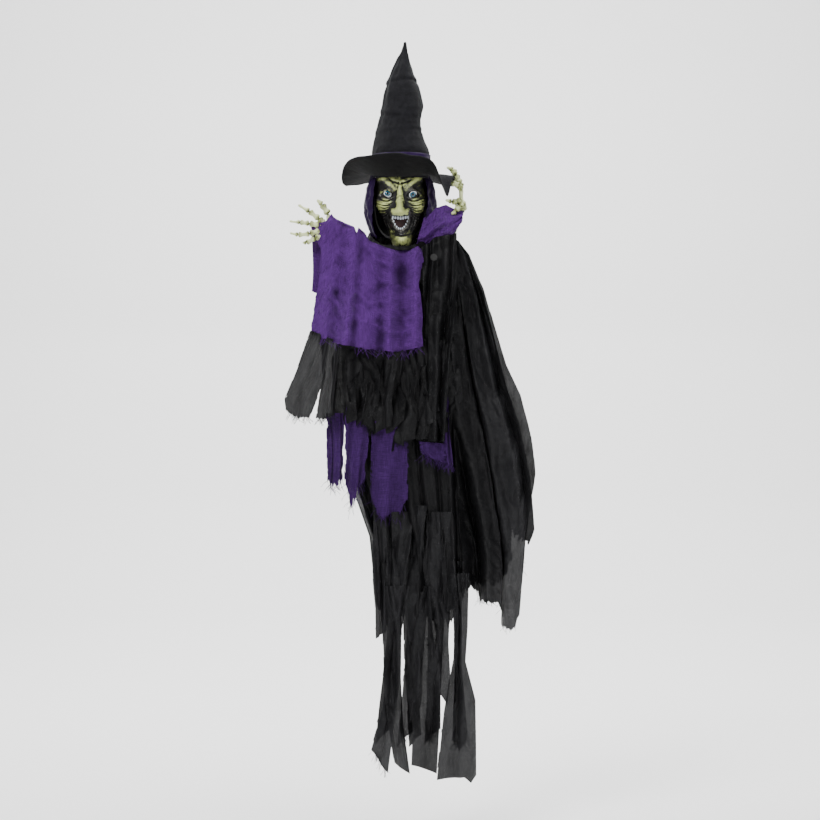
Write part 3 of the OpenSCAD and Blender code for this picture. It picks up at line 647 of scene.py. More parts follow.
FINISHES = {
    "gauze": lambda: gauze("Purple gauze", color_of(72, 38, 100)),
    "lining": lambda: thin_black("Black lining", color_of(12, 11, 13), 0.0),
    "satin": lambda: satin("Purple satin", color_of(34, 12, 56)),
    "strip": lambda: gauze("Purple strips", color_of(50, 27, 72), 900.0),
    "black": lambda: thin_black("Black cloth", color_of(10, 10, 11),
                                bpy.context.scene.witch_cloth.sheer),
    "felt": lambda: felt("Charcoal felt", color_of(20, 20, 23)),
    "skin": lambda: painted_skin("Painted skin", color_of(160, 168, 106), color_of(80, 84, 52),
                                 color_of(12, 11, 10)),
    "bone": lambda: painted_bone("Painted bone", color_of(204, 212, 160), color_of(118, 126, 64)),
    "teeth": lambda: enamel("Teeth", color_of(196, 204, 216), color_of(104, 98, 78)),
    "mouth": lambda: moulded("Mouth lining", color_of(44, 10, 12), 0.35),
    "stud": lambda: brushed("Stud metal", (0.05, 0.05, 0.05), 0.45),
    "steel": lambda: brushed("Bright steel wire", (0.55, 0.55, 0.56), 0.3),
    "zinc": lambda: brushed("Zinc plated steel", (0.5, 0.5, 0.48), 0.42, 0.5),
    "motor": lambda: brushed("Motor can", (0.42, 0.43, 0.44), 0.28, 0.15),
    "case": lambda: moulded("Black case plastic", (0.016, 0.016, 0.017), 0.45),
    "shell": lambda: moulded("Black shell plastic", (0.02, 0.019, 0.02), 0.62, 420.0),
    "white": lambda: moulded("White gear plastic", (0.62, 0.61, 0.57), 0.38),
    "rod": lambda: moulded("Dark arm plastic", (0.03, 0.029, 0.031), 0.5, 900.0),
    "cone": lambda: moulded("Paper speaker cone", (0.028, 0.026, 0.024), 0.85, 1500.0),
    "circuit": lambda: moulded("Green circuit board", (0.012, 0.14, 0.04), 0.3, 300.0),
    "button": lambda: moulded("Red button", (0.5, 0.02, 0.018), 0.28),
    "light": lambda: moulded("Blue lamp", (0.05, 0.3, 0.5), 0.15, 200.0),
}


def finish(name):
    """A new material for the named finish."""
    return FINISHES[name]()


# ---------------------------------------------------------------- cloth
SEEN_FROM = (16.0, -3240.0, -275.0)
DRAWN_AT = -100.0


def placed(x, z, y):
    """Outlines are drawn as they show from the front, at one depth; this takes them to their own depth."""
    near = (y - SEEN_FROM[1]) / (DRAWN_AT - SEEN_FROM[1])
    return SEEN_FROM[0] + (x - SEEN_FROM[0]) * near, SEEN_FROM[2] + (z - SEEN_FROM[2]) * near


def between(rows, cols, left, right, depth):
    """A grid between two edges, each a line of (x, z) points from top to bottom; depth(x, z) gives y.
    Returns x, y, z, and each point's share across (u) and down (v)."""
    v, u = np.meshgrid(np.linspace(0, 1, rows), np.linspace(0, 1, cols), indexing="ij")
    lx, lz = line_at(left, v[:, 0])
    rx, rz = line_at(right, v[:, 0])
    x = lx[:, None] * (1 - u) + rx[:, None] * u
    z = lz[:, None] * (1 - u) + rz[:, None] * u
    y = depth(x, z) if callable(depth) else np.full(x.shape, float(depth))
    x, z = placed(x, z, y)
    return x, y, z, u, v


def lengths(points):
    """Distances along each row and each column of a grid, as a flat pattern in millimetres."""
    across = np.zeros(points.shape[:2])
    down = np.zeros(points.shape[:2])
    across[:, 1:] = np.cumsum(np.linalg.norm(np.diff(points, axis=1), axis=2), axis=1)
    down[1:] = np.cumsum(np.linalg.norm(np.diff(points, axis=0), axis=2), axis=0)
    across -= across[:, -1:] / 2
    return np.stack([across, -down], -1)


def flat_size(points):
    """Width and length of the cloth before it was gathered, in metres."""
    flat = lengths(points)
    width = float(np.ptp(flat[..., 0], axis=1).max()) * MM
    length = float(np.ptp(flat[..., 1], axis=0).max()) * MM
    return width, length


def torn(u, v, keep_seed, hole_level=2.0, foot=0.05, side=0.02, scale=9.0):
    """Which cells of a grid stay: cells near the torn foot and sides drop out at random tongues."""
    tongue = rough(u * scale, v * 3.0, keep_seed, 4)
    fine = rough(u * scale * 5, v * 9, keep_seed + 3, 3)
    stay = v < 1 - foot * (0.9 + 1.6 * tongue + 0.9 * fine)
    stay &= u > side * (0.3 + 2.0 * rough(v * scale, u, keep_seed + 1, 4) + fine)
    stay &= u < 1 - side * (0.3 + 2.0 * rough(v * scale, u + 5, keep_seed + 2, 4) + fine)
    return stay & (rough(u * scale, v * scale, keep_seed + 4, 4) < hole_level)


# ---------------------------------------------------------------- hat
def crown_at(turn, share, settings):
    """Points of the crown's outside, in millimetres, for angles and shares of its height."""
    z = BRIM_Z + share * (settings.tip / MM - BRIM_Z)
    levels = [108, 142, 160, 185, 200, 214, 236, 255, 282, 306, 322]
    left = np.interp(z, levels, [-46, -44.5, -41, -36, -33, -30.1, -25.5, -19.8, -8.2, 3.4, 5.9])
    right = np.interp(z, levels, [46.5, 47.2, 41.5, 34.6, 35.2, 36.3, 32.5, 26.3, 18.5, 11.5, 10.2])
    middle, half = (left + right) / 2, (right - left) / 2
    dent = settings.dents / MM
    wave = rough(turn * 1.1 + 2, z / 60, 3, 2) * dent * 0.8 + crumple(turn * 0.9, z / 60, 5, 3) * dent * 0.55
    for low, deep in ((254, 1.0), (200, 0.8), (172, 0.5)):
        fold = low + 5 * np.sin(turn * 1.0 + low)
        near = 0.35 + 0.65 * np.clip(np.sin(turn * 1.5 + low), 0, 1)
        wave = wave - deep * dent * 0.32 * near * np.exp(-((z - fold) / 2.5) ** 2)
        wave = wave + deep * dent * 0.26 * near * np.exp(-((z - fold - 6) / 5.0) ** 2)
    calm = smooth_step(118, 150, z) * smooth_step(322, 300, z)
    radius = half + wave * calm
    return np.stack([middle + radius * np.cos(turn), NECK_Y + half * 0.96 * np.sin(turn)
                     + wave * calm * np.sin(turn)
                     + 5 * np.sin((z - 108) / 70), z], -1)


# Degrees round the rim, and how high it is lifted there
BRIM_LIFT = [(-180, -0.1), (-172, 0.24), (-165, 0.5), (-150, 0.74), (-135, 0.88), (-115, 0.98), (-90, 1.0),
             (-70, 0.9), (-58, 0.58), (-45, 0.22), (-25, -0.2), (-12, -0.55), (0, -0.76), (15, -0.7),
             (45, -0.35), (90, 0.3), (135, -0.3), (158, -0.68), (168, -0.55), (180, -0.1)]


def brim_at(turn, radius, settings):
    """Points of the brim's upper face; it is tipped up in front and hangs in a flap at one side."""
    share = np.clip((radius - CROWN_R - 1) / (BRIM_R - CROWN_R - 1), 0, 1)
    degrees = np.degrees(turn)
    front = np.clip(-np.sin(turn), 0, 1)
    lift = np.interp(degrees, *np.array(BRIM_LIFT, float).T)
    base = BRIM_Z - 7 * front
    rim = BRIM_Z + np.where(lift > 0, lift * settings.lift / MM, lift * 3 * settings.droop / MM)
    z = base + share ** 1.4 * (rim - base) - share ** 3 * 46 * np.exp(-((turn + 0.72) / 0.17) ** 2)
    z = z + share ** 2 * 1.2 * (np.sin(turn * 7 + 1) + 1.6 * rough(turn * 2.2, share * 2, 6, 3))
    out = radius + share * (3.5 * np.exp(-((turn + 0.72) / 0.17) ** 2) + 1.2 * np.sin(turn * 5))
    return np.stack([out * np.cos(turn), NECK_Y + out * np.sin(turn), z], -1)


def make_hat(settings):
    """Felt crown and brim, satin band, and the stitches round the rim."""
    felt_look, wall = finish("felt"), settings.felt / MM
    turn = np.linspace(-math.pi, math.pi, 145)[:-1]
    share, angle = np.meshgrid(np.linspace(-0.045, 1, 124), turn, indexing="ij")
    points = crown_at(angle, share, settings)
    tip = points[-1:].mean(1, keepdims=True) + [0, 0, 1.5]
    points = np.concatenate([points, np.repeat(tip, len(turn), 1)])
    crown = surface("hat_crown_felt", points, lengths(points), wrap=True, under=0.0)
    size = flat_size(points)
    outward(crown, wall)
    ride_as(crown, "head", "hat_felt", felt_look, "hat_crown")

    turn = np.linspace(-math.pi, math.pi, 217)[:-1]
    radius, angle = np.meshgrid(np.linspace(CROWN_R - 2.4, BRIM_R, 44), turn, indexing="ij")
    top = brim_at(angle, radius, settings)
    ripple = 0.5 * rough(angle * 9, radius / 9, 2, 3)
    top[..., 2] += ripple * np.clip((radius - CROWN_R - 3) / 10, 0, 1)
    low = top - [0, 0, wall]
    points = np.concatenate([top, low[::-1], top[:1]])
    # Painted shade: the brim's lower face is marked for darkening, its rim edge in part.
    underside_shade = np.concatenate([np.zeros(radius.shape), np.ones(radius.shape), np.zeros((1, len(turn)))])
    underside_shade[len(radius)] = 0.3
    brim = surface("hat_brim_felt", points, np.stack([points[..., 0], points[..., 1]], -1), wrap=True,
                   under=underside_shade)
    outward(brim)
    ride_as(brim, "head", "hat_felt", felt_look, "hat_brim")

    share, angle = np.meshgrid(np.linspace(0.025, 0.14, 14), np.linspace(-math.pi, math.pi, 181)[:-1],
                               indexing="ij")
    points = crown_at(angle, share, settings)
    push = 1.2 + 0.5 * rough(angle * 5, share * 120, 8, 3)
    push = push + 0.7 * np.sin(share * 400 + 3 * np.sin(angle * 2)) ** 2
    push = push + 3.0 * np.exp(-((angle + 0.15) / 0.5) ** 2) * np.sin(share * 25) ** 2
    points[..., 0] += push * np.cos(angle)
    points[..., 1] += push * np.sin(angle)
    band = surface("hat_band_satin", points, lengths(points), wrap=True, hollow=0.0)
    size = flat_size(points)
    outward(band, 0.6)
    ride_as(band, "head", "purple_satin", finish("satin"), "hat_band")

    turn = np.linspace(-math.pi, math.pi, 97)[:-1]
    seam = brim_at(turn, np.full(96, BRIM_R - 4.0), settings) + [0, 0, 0.1]
    stitches = stitched("brim_stitches", seam, brim_at(turn + 0.01, np.full(96, BRIM_R - 4.0), settings)
                        - seam)
    ride_as(stitches, "head", "hat_felt", finish("lining"))


def repeat_tree(name, length, radius, wobble):
    """A node tree that puts one short bent thread on every point of a mesh, turned as its 'aim' says."""
    tree = bpy.data.node_groups.new(name, "GeometryNodeTree")
    for label, kind, default in (("Geometry", "NodeSocketGeometry", None), ("Length", FLOAT, length),
                                 ("Radius", FLOAT, radius), ("Wobble", FLOAT, wobble),
                                 ("Seed", "NodeSocketInt", 3), ("Material", "NodeSocketMaterial", None)):
        socket = tree.interface.new_socket(name=label, in_out="INPUT", socket_type=kind)
        if default is not None:
            socket.default_value = default
    tree.interface.new_socket(name="Geometry", in_out="OUTPUT", socket_type="NodeSocketGeometry")
    n = Nodes(tree)
    given = n.add("NodeGroupInput").outputs
    far = n.add("ShaderNodeCombineXYZ", {2: given["Length"]}).outputs[0]
    line = n.add("GeometryNodeCurvePrimitiveLine", {"Start": (0.0, 0.0, 0.0), "End": far}).outputs[0]
    line = n.add("GeometryNodeResampleCurve", {"Curve": line, "Count": 9}).outputs[0]
    placed = n.add("GeometryNodeInstanceOnPoints", {"Points": given["Geometry"], "Instance": line})
    aim = n.add("GeometryNodeInputNamedAttribute", data_type="FLOAT_VECTOR")
    aim.inputs["Name"].default_value = "aim"
    turned = n.add("FunctionNodeAlignRotationToVector", {"Vector": aim.outputs["Attribute"]}, axis="Z")
    n.feed(placed.inputs["Rotation"], turned.outputs[0])
    size = n.add("FunctionNodeRandomValue", data_type="FLOAT")
    for socket in size.inputs:
        if socket.name == "Min" and socket.type == "VALUE":
            socket.default_value = 0.45
        elif socket.name == "Max" and socket.type == "VALUE":
            socket.default_value = 1.5
        elif socket.name == "Seed":
            n.feed(socket, given["Seed"])
    n.feed(placed.inputs["Scale"], [o for o in size.outputs if o.type == "VALUE" and o.enabled][0])
    loose = n.add("GeometryNodeRealizeInstances", {0: placed.outputs[0]}).outputs[0]
    place = n.add("GeometryNodeInputPosition").outputs[0]
    share = n.add("GeometryNodeSplineParameter").outputs["Factor"]
    swirl = n.add("ShaderNodeTexNoise", {"Vector": place, "Scale": 60.0, "Detail": 2.0}).outputs["Color"]
    swirl = n.add("ShaderNodeVectorMath", {0: swirl, 1: (0.5, 0.5, 0.5)}, operation="SUBTRACT").outputs[0]
    reach = n.math("MULTIPLY", share, given["Wobble"])
    shift = n.add("ShaderNodeVectorMath", {0: swirl, 3: reach}, operation="SCALE").outputs[0]
    bent = n.add("GeometryNodeSetPosition", {"Geometry": loose, "Offset": shift}).outputs[0]
    ring = n.add("GeometryNodeCurvePrimitiveCircle", {"Resolution": 5, "Radius": given["Radius"]}).outputs[0]
    solid = n.add("GeometryNodeCurveToMesh", {"Curve": bent, "Profile Curve": ring,
                                              "Fill Caps": True}).outputs[0]
    solid = n.add("GeometryNodeSetShadeSmooth", {0: solid}).outputs[0]
    solid = n.add("GeometryNodeRealizeInstances", {0: solid}).outputs[0]
    painted = n.add("GeometryNodeSetMaterial", {"Geometry": solid, "Material": given["Material"]}).outputs[0]
    n.feed(n.add("NodeGroupOutput").inputs[0], painted)
    return tree


TREES = {}


def repeated(name, kind, points, aims, look, **inputs):
    """Threads or stitches on points in millimetres, each turned to its aim, as a plain mesh."""
    mesh = bpy.data.meshes.new(name)
    mesh.from_pydata((np.asarray(points) * MM).tolist(), [], [])
    mesh.attributes.new("aim", "FLOAT_VECTOR", "POINT").data.foreach_set(
        "vector", np.asarray(aims, np.float32).ravel())
    piece = new_object(name, mesh)
    if kind not in TREES:
        TREES[kind] = repeat_tree(kind, 0.01, 0.0003, 0.002)
    made = piece.modifiers.new(kind, "NODES")
    made.node_group = TREES[kind]
    values = {"Seed": bpy.context.scene.witch_cloth.seed, "Material": finish(look), **inputs}
    for item in TREES[kind].interface.items_tree:
        if item.in_out == "INPUT" and item.name in values:
            made[item.identifier] = values[item.name]
    return plain(piece)


def stitched(name, seam, aims):
    return repeated(name, "Stitches along a seam", seam, aims, "lining",
                    Length=0.004, Radius=0.0005, Wobble=0.0)


# ---------------------------------------------------------------- face
# Outline of the face: height, depth in front of the neck, half width
FACE_ROWS = [(-13, 5, 6), (-16, 12, 9), (-15.5, 22, 11), (-11.5, 34, 14), (-4, 40, 17), (5, 42, 20.5),
             (16, 40, 24), (28, 39, 28), (39, 40, 31.5), (46, 41, 36.5), (55, 41, 41), (65, 40, 42.5),
             (73, 39, 42), (85, 41, 41), (100, 39, 40.5), (112, 34, 40), (122, 30, 38)]
# Middle, top, half width and foot of the open mouth
MOUTH = (0.6, 44.0, 16.0, 16.0)


def mouth_edge(x):
    """Height of the open mouth's lower edge."""
    middle, top, half, low = MOUTH
    return low + (top - low) * np.clip(abs(x - middle) / half, 0, 1.3) ** 2.3


def mirrored(x, z, points, width, sharp=2.0):
    """Two strokes, one on each side of the face."""
    left = [(-a, b) for a, b in points]
    return along(x, z, points, width, sharp) + along(x, z, left, width, sharp)


def face_relief(x, z):
    """How far each place of the face stands forward of the plain oval, in millimetres."""
    h = brow_relief(x, z) + eye_relief(x, z) + nose_relief(x, z) + cheek_relief(x, z) + mouth_relief(x, z)
    return h + 1.1 * crumple(x / 15 + 3, z / 12, 2, 4) + 0.7 * rough(x / 4, z / 4, 7, 3)


def brow_relief(x, z):
    """Two raised brows that meet in a frown over the nose."""
    h = 6.4 * mirrored(x, z, [(39, 96), (30, 101), (20, 94), (7, 81)], 5.5)
    h -= 2.0 * mirrored(x, z, [(36, 106), (28, 108), (17, 100), (9, 90)], 2.0)
    h += 2.2 * mirrored(x, z, [(33, 91), (24, 88), (13, 82)], 3.4)
    h += 2.2 * along(x, z, [(-26, 104), (-10, 99), (0, 95), (10, 99), (26, 104)], 2.6)
    h += 1.8 * along(x, z, [(-12, 94), (0, 88.5), (12, 94)], 2.2)
    h -= 2.6 * mirrored(x, z, [(2.6, 96), (4.2, 82)], 1.2)
    return h - 1.8 * along(x, z, [(-20, 99), (0, 91.5), (20, 99)], 1.3)


def eye_relief(x, z):
    """Sunken sockets with an upper lid, a lower lid and bags under them."""
    h = np.zeros(x.shape)
    for side in (-1, 1):
        h -= 9.0 * bump(x, z, side * 20.5, 75.5, 13.5, 9.5) + 4.0 * bump(x, z, side * 29, 88, 9, 7)
    h += 3.0 * mirrored(x, z, [(8, 74), (13, 80), (21, 83.5), (30, 79), (35, 72)], 2.0)
    h += 3.4 * mirrored(x, z, [(9, 73), (15, 68.5), (22, 67), (30, 69.5), (34, 74)], 1.9)
    h += 2.4 * mirrored(x, z, [(10, 66), (18, 61.5), (27, 61), (37, 66)], 2.6)
    h -= 2.8 * mirrored(x, z, [(11, 69.5), (19, 64.5), (28, 64), (37, 69)], 1.0)
    return h - 2.0 * mirrored(x, z, [(12, 62.5), (20, 57.5), (30, 57), (38, 61)], 1.0)


def nose_relief(x, z):
    """A long nose with a heavy tip, wings, nostrils and wrinkles across its bridge."""
    bridge = np.interp(z, [33, 37, 41, 45, 51, 60, 70, 80, 88, 94], [0, 7, 17, 20, 19.5, 15, 11, 8, 5, 0])
    wide = np.interp(z, [36, 44, 54, 66, 80, 90], [11, 10.5, 7.6, 5.6, 4.6, 5.5])
    h = bridge * np.exp(-(abs(x + 0.5) / wide) ** 2.6)
    h += 9.5 * bump(x, z, -1.4, 44.5, 9.0, 8.0)
    h += 1.6 * mirrored(x, z, [(4, 78), (6, 66), (8, 57)], 1.4)
    h -= 1.5 * mirrored(x, z, [(6, 76), (8.5, 64)], 1.1)
    for k in range(3):
        h -= 1.3 * along(x, z, [(-5, 75 - 6 * k), (0, 73 - 6 * k), (5, 75 - 6 * k)], 0.9)
    for side in (-1, 1):
        h += 8.5 * bump(x, z, side * 13, 47.5, 5.4, 6.2)
        h -= 6.0 * bump(x, z, side * 7.2, 39.5, 3.2, 2.2)
    return h


def cheek_relief(x, z):
    """Bony cheeks over hollows, with creases that fan out from the nose and run down to the chin."""
    h = np.zeros(x.shape)
    for side in (-1, 1):
        h += 10.0 * bump(x, z, side * 32, 57, 10.5, 8.5)
        h -= 3.0 * bump(x, z, side * 27, 40, 7.0, 6.5)
    h -= 2.8 * mirrored(x, z, [(10, 57), (17, 52), (19.5, 44), (22, 33), (21, 22), (16, 12)], 1.8)
    for k in range(7):
        near, far = (15 + 0.6 * k, 60 - 2.6 * k), (39 - 1.4 * k, 65 - 5.4 * k)
        bend = ((near[0] + far[0]) / 2, (near[1] + far[1]) / 2 - 2.4)
        h -= (2.1 - 0.12 * k) * mirrored(x, z, [near, bend, far], 1.05)
        h += 1.1 * mirrored(x, z, [(near[0], near[1] + 1.8), (bend[0], bend[1] + 1.9),
                                   (far[0], far[1] + 2)], 1.3)
    for k in range(5):
        out = 5.5 + 4.2 * k
        curve = [(15 + out, 42 - k), (14 + out * 0.95, 30), (10.5 + out * 0.75, 19),
                 (6 + out * 0.35, 12 - out * 0.25)]
        h -= (1.9 - 0.2 * k) * mirrored(x, z, curve, 1.1)
    return h


def mouth_relief(x, z):
    """Thin lips round the open mouth, and a jutting chin with a cleft and side creases."""
    h = np.zeros(x.shape)
    for side in (-1, 1):
        lip = [(side * 15.5 + 0.6, 44), (side * 14.5 + 0.6, 34), (side * 10.5 + 0.6, 22), (0.6, 14.2)]
        h += 3.2 * along(x, z, lip, 2.4)
    h += 3.0 * along(x, z, [(-15, 45), (-6, 38.5), (0, 37.5), (7, 38.5), (16, 46)], 1.8)
    h += 9.0 * bump(x, z, 3.5, -1.0, 13.5, 9.0) - 3.2 * along(x, z, [(-8, 9), (3, 7), (15, 10)], 1.5)
    h -= 0.8 * along(x, z, [(3.8, 4), (4.4, -10)], 1.0)
    for crease in ([(-6, 2), (-3, -5), (2, -9)], [(13, 3), (11, -5), (6, -9)]):
        h -= 1.2 * along(x, z, crease, 1.0)
    return h


def blurred(values, reach):
    """A grid smoothed over some cells each way."""
    for axis in (0, 1):
        padded = np.pad(values, [(reach, reach) if a == axis else (0, 0) for a in (0, 1)], mode="edge")
        total = np.cumsum(np.insert(padded, 0, 0, axis=axis), axis=axis)
        wide = 2 * reach + 1
        upper = np.take(total, range(wide, total.shape[axis]), axis=axis)
        lower = np.take(total, range(total.shape[axis] - wide), axis=axis)
        values = (upper - lower) / wide
    return values


# Amount, middle (x, z), half width and half height of the soft spots: dark under the eyes, and painted
# highlight on the nose tip and the cheekbones
DARK_AND_HIGHLIGHT_SPOTS = ((0.3, -25, 65, 13, 6), (0.3, 25, 65, 13, 6), (-0.5, 0, 48, 15, 14),
              (-0.5, 33, 56, 9, 7), (-0.4, -33, 56, 8, 7))


def face_soot(x, z, inside):
    """Where the mask is darkened: black paint in the eye sockets and round the lips, painted shade down the
    sides of the nose and under the chin, the hood's shadow painted on the left jaw, darker sunken cheeks,
    mouth corners and creases, and painted highlight where the value falls below zero.
    """
    brow = np.interp(abs(x), [5, 8, 31, 42], [80, 81, 101, 97])
    soot = 0.62 * smooth_step(-2, 4, brow - z) * smooth_step(63, 70, z) * smooth_step(6, 12, abs(x))
    soot += 0.28 * smooth_step(0, 3, brow - z) * smooth_step(84, 88, z) * smooth_step(8, 13, abs(x))
    # Darker towards the sides, over the lower right jaw, towards the top and beside the nose under the
    # cheeks; the hood's shadow is painted black on the left jaw.
    soot += 0.3 * smooth_step(30, 41, abs(x)) + 1.3 * smooth_step(-13, -22, x) * smooth_step(47, 38, z)
    soot += 0.55 * smooth_step(13, 26, x) * smooth_step(47, 34, z) + 0.35 * smooth_step(90, 112, z)
    soot += 0.35 * smooth_step(9, 22, abs(x)) * smooth_step(62, 52, z)
    # Black round the edge of the open mouth, and painted shade under the chin.
    soot += 1.2 * inside + 0.5 * smooth_step(-6, -14, z)
    soot += 0.85 * rough(x / 9, z / 6, 9, 5) + 0.4 * crumple(x / 7, z / 4, 5, 4)
    # Strokes: painted shade down the sides of the nose, darker creases beside the mouth and above the chin,
    # and a black painted ring round the lips.
    for amount, points, width in ((0.6, [(8, 80), (10, 66), (15, 58)], 3.2),
                                  (0.75, [(17, 50), (22, 38), (20, 22)], 4.5),
                                  (0.75, [(17, 46), (17, 34), (12.5, 20), (1, 12.5)], 3.4),
                                  (1.1, [(15.6, 43), (15.0, 34), (11.0, 22), (0.5, 14.6)], 2.9)):
        soot += amount * mirrored(x, z, points, width)
    soot += 0.5 * along(x, z, [(-12, 10), (3, 7.5), (18, 11)], 2.5)
    # Soft spots: darker under the eyes, and painted highlight on the nose tip and the cheekbones where the
    # amount is below zero.
    for amount, middle_x, middle_z, wide, tall in DARK_AND_HIGHLIGHT_SPOTS:
        soot += amount * bump(x, z, middle_x, middle_z, wide, tall)
    return soot


def make_face(settings):
    """The painted mask with open eyes and mouth, and its teeth."""
    rows = np.array(FACE_ROWS, float)
    share = np.concatenate([[0], np.cumsum(np.hypot(np.diff(rows[:, 0]), np.diff(rows[:, 1]) * 0.6))])
    v = np.linspace(0, share[-1], 330)
    z = np.interp(v, share, rows[:, 0])
    deep = blurred(np.interp(v, share, rows[:, 1])[:, None], 8)[:, :1]
    half = blurred(np.interp(v, share, rows[:, 2])[:, None], 8)[:, :1]
    middle = np.interp(z, [-12, 20, 60, 100], [3.5, 3.5, 1.5, 0.0])[:, None]
    angle = np.radians(np.linspace(-96, 96, 290))[None, :]
    x = middle + half * np.sin(angle)
    z = np.broadcast_to(z[:, None], x.shape).copy()
    near = (NECK_Y - deep * np.cos(angle) - 6 - SEEN_FROM[1]) / (DRAWN_AT - SEEN_FROM[1])
    true_x, true_z = x, z
    x, z = SEEN_FROM[0] + (x - SEEN_FROM[0]) / near, SEEN_FROM[2] + (z - SEEN_FROM[2]) / near
    relief = settings.relief * face_relief(x, z)
    inside = np.clip((z - mouth_edge(x)) / 3.0, 0, 1) * np.clip((MOUTH[1] - 2 - z) / 3.0, 0, 1)
    inside *= abs(x - MOUTH[0]) < MOUTH[2]
    front = np.cos(angle) * smooth_step(96, 60, abs(np.degrees(angle)))
    y = NECK_Y - deep * np.cos(angle) - relief * front
    y += 10.0 * inside
    for eye in ("left_eye", "right_eye"):
        low, high = (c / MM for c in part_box(eye))
        middle, ball = (low + high) / 2, (high.z - low.z) / 2
        away = np.hypot(true_x - middle.x, true_z - middle.z)
        lid = middle.y - np.sqrt(np.maximum((ball + 1.0) ** 2 - away ** 2, 0))
        y = np.where(away < ball - 0.2, np.minimum(y, lid), y)
    level = blurred(relief, 7) - relief
    broad = blurred(relief, 18) - relief
    # Grooves get the black wash together with painted shade; raised places, the top of the nose and the
    # cheekbones get painted highlight.
    groove = np.clip(level * 0.6 + broad * 0.34 - 0.04, 0, 1)
    ridge = -level * 0.5 - broad * 0.2 + 0.9 * along(x, z, [(0, 78), (-0.5, 60), (-1.5, 40)], 5.0)
    ridge = np.clip(ridge + 0.5 * bump(x, z, 33, 55, 8, 5) + 0.5 * bump(x, z, -33, 55, 8, 5), 0, 1)
    points = np.stack([true_x, y, true_z], -1)
    hole = (inside < 0.95) & (((abs(x) - 20.3) / 7.3) ** 2
                              + ((z - 75.4 - 0.22 * (abs(x) - 20.3)) / 5.5) ** 2 > 1)
    mask = surface("face_skin", points, np.stack([x, z], -1), keep=hole, groove=groove, ridge=ridge,
                   soot=np.clip(face_soot(x, z, inside), 0, 1))
    outward(mask)
    if sum(p.normal.y for p in mask.data.polygons) > 0:
        mask.data.flip_normals()
    solid = mask.modifiers.new("wall", "SOLIDIFY")
    solid.thickness = 1.4 * MM
    solid.offset = -1
    plain(mask)
    ride_as(mask, "head", "mask_skin", finish("skin"), "face_mask")

    make_teeth(settings.teeth)


def make_teeth(lower_count):
    """Two rows of teeth; the lower row follows the edge of the mouth."""
    upper = []
    for k in range(7):
        x = MOUTH[0] + (k - 3) * 4.1
        drop = 34.5 + 0.55 * abs(k - 3) ** 1.5
        x, z = placed(x, drop + 3.4, -138)
        upper.append(tooth(x, -139.5 + 0.4 * abs(k - 3) ** 2, z, 1.95, 4.6, 1.8, -1))
    ride_as(joined("upper_row", upper), "head", "teeth", finish("teeth"), "upper_teeth")
    lower = []
    for k in range(lower_count):
        t = 2 * k / (lower_count - 1) - 1
        x = MOUTH[0] + 14.2 * math.sin(1.35 * t)
        x, z = placed(x, float(mouth_edge(np.array(x))) + 2.0, -138)
        lower.append(tooth(x, -139 + 4.0 * t * t, z, 1.5, 2.5, 1.5, 1))
    ride_as(joined("lower_row", lower), "head", "teeth", finish("teeth"), "lower_teeth")


def tooth(x, y, z, wide, tall, deep, end):
    """One small tooth: a rounded block, narrower at its root, with its biting edge up (1) or down (-1)."""
    lift, turn = np.meshgrid(np.linspace(-math.pi / 2, math.pi / 2, 15),
                             np.linspace(0, 2 * math.pi, 21)[:-1],
                             indexing="ij")

    def square(value, power):
        return np.sign(value) * abs(value) ** power
    level = square(np.sin(lift), 0.6)
    side = square(np.cos(lift), 0.6)
    narrow = 1 - 0.16 * (1 - level * end)
    grid = np.stack([x + wide * narrow * side * square(np.cos(turn), 0.7),
                     y + deep * side * square(np.sin(turn), 0.8), z + tall * level], -1)
    return outward(surface("tooth", grid, wrap=True, groove=np.clip(0.5 - 0.7 * level * end, 0, 1)))


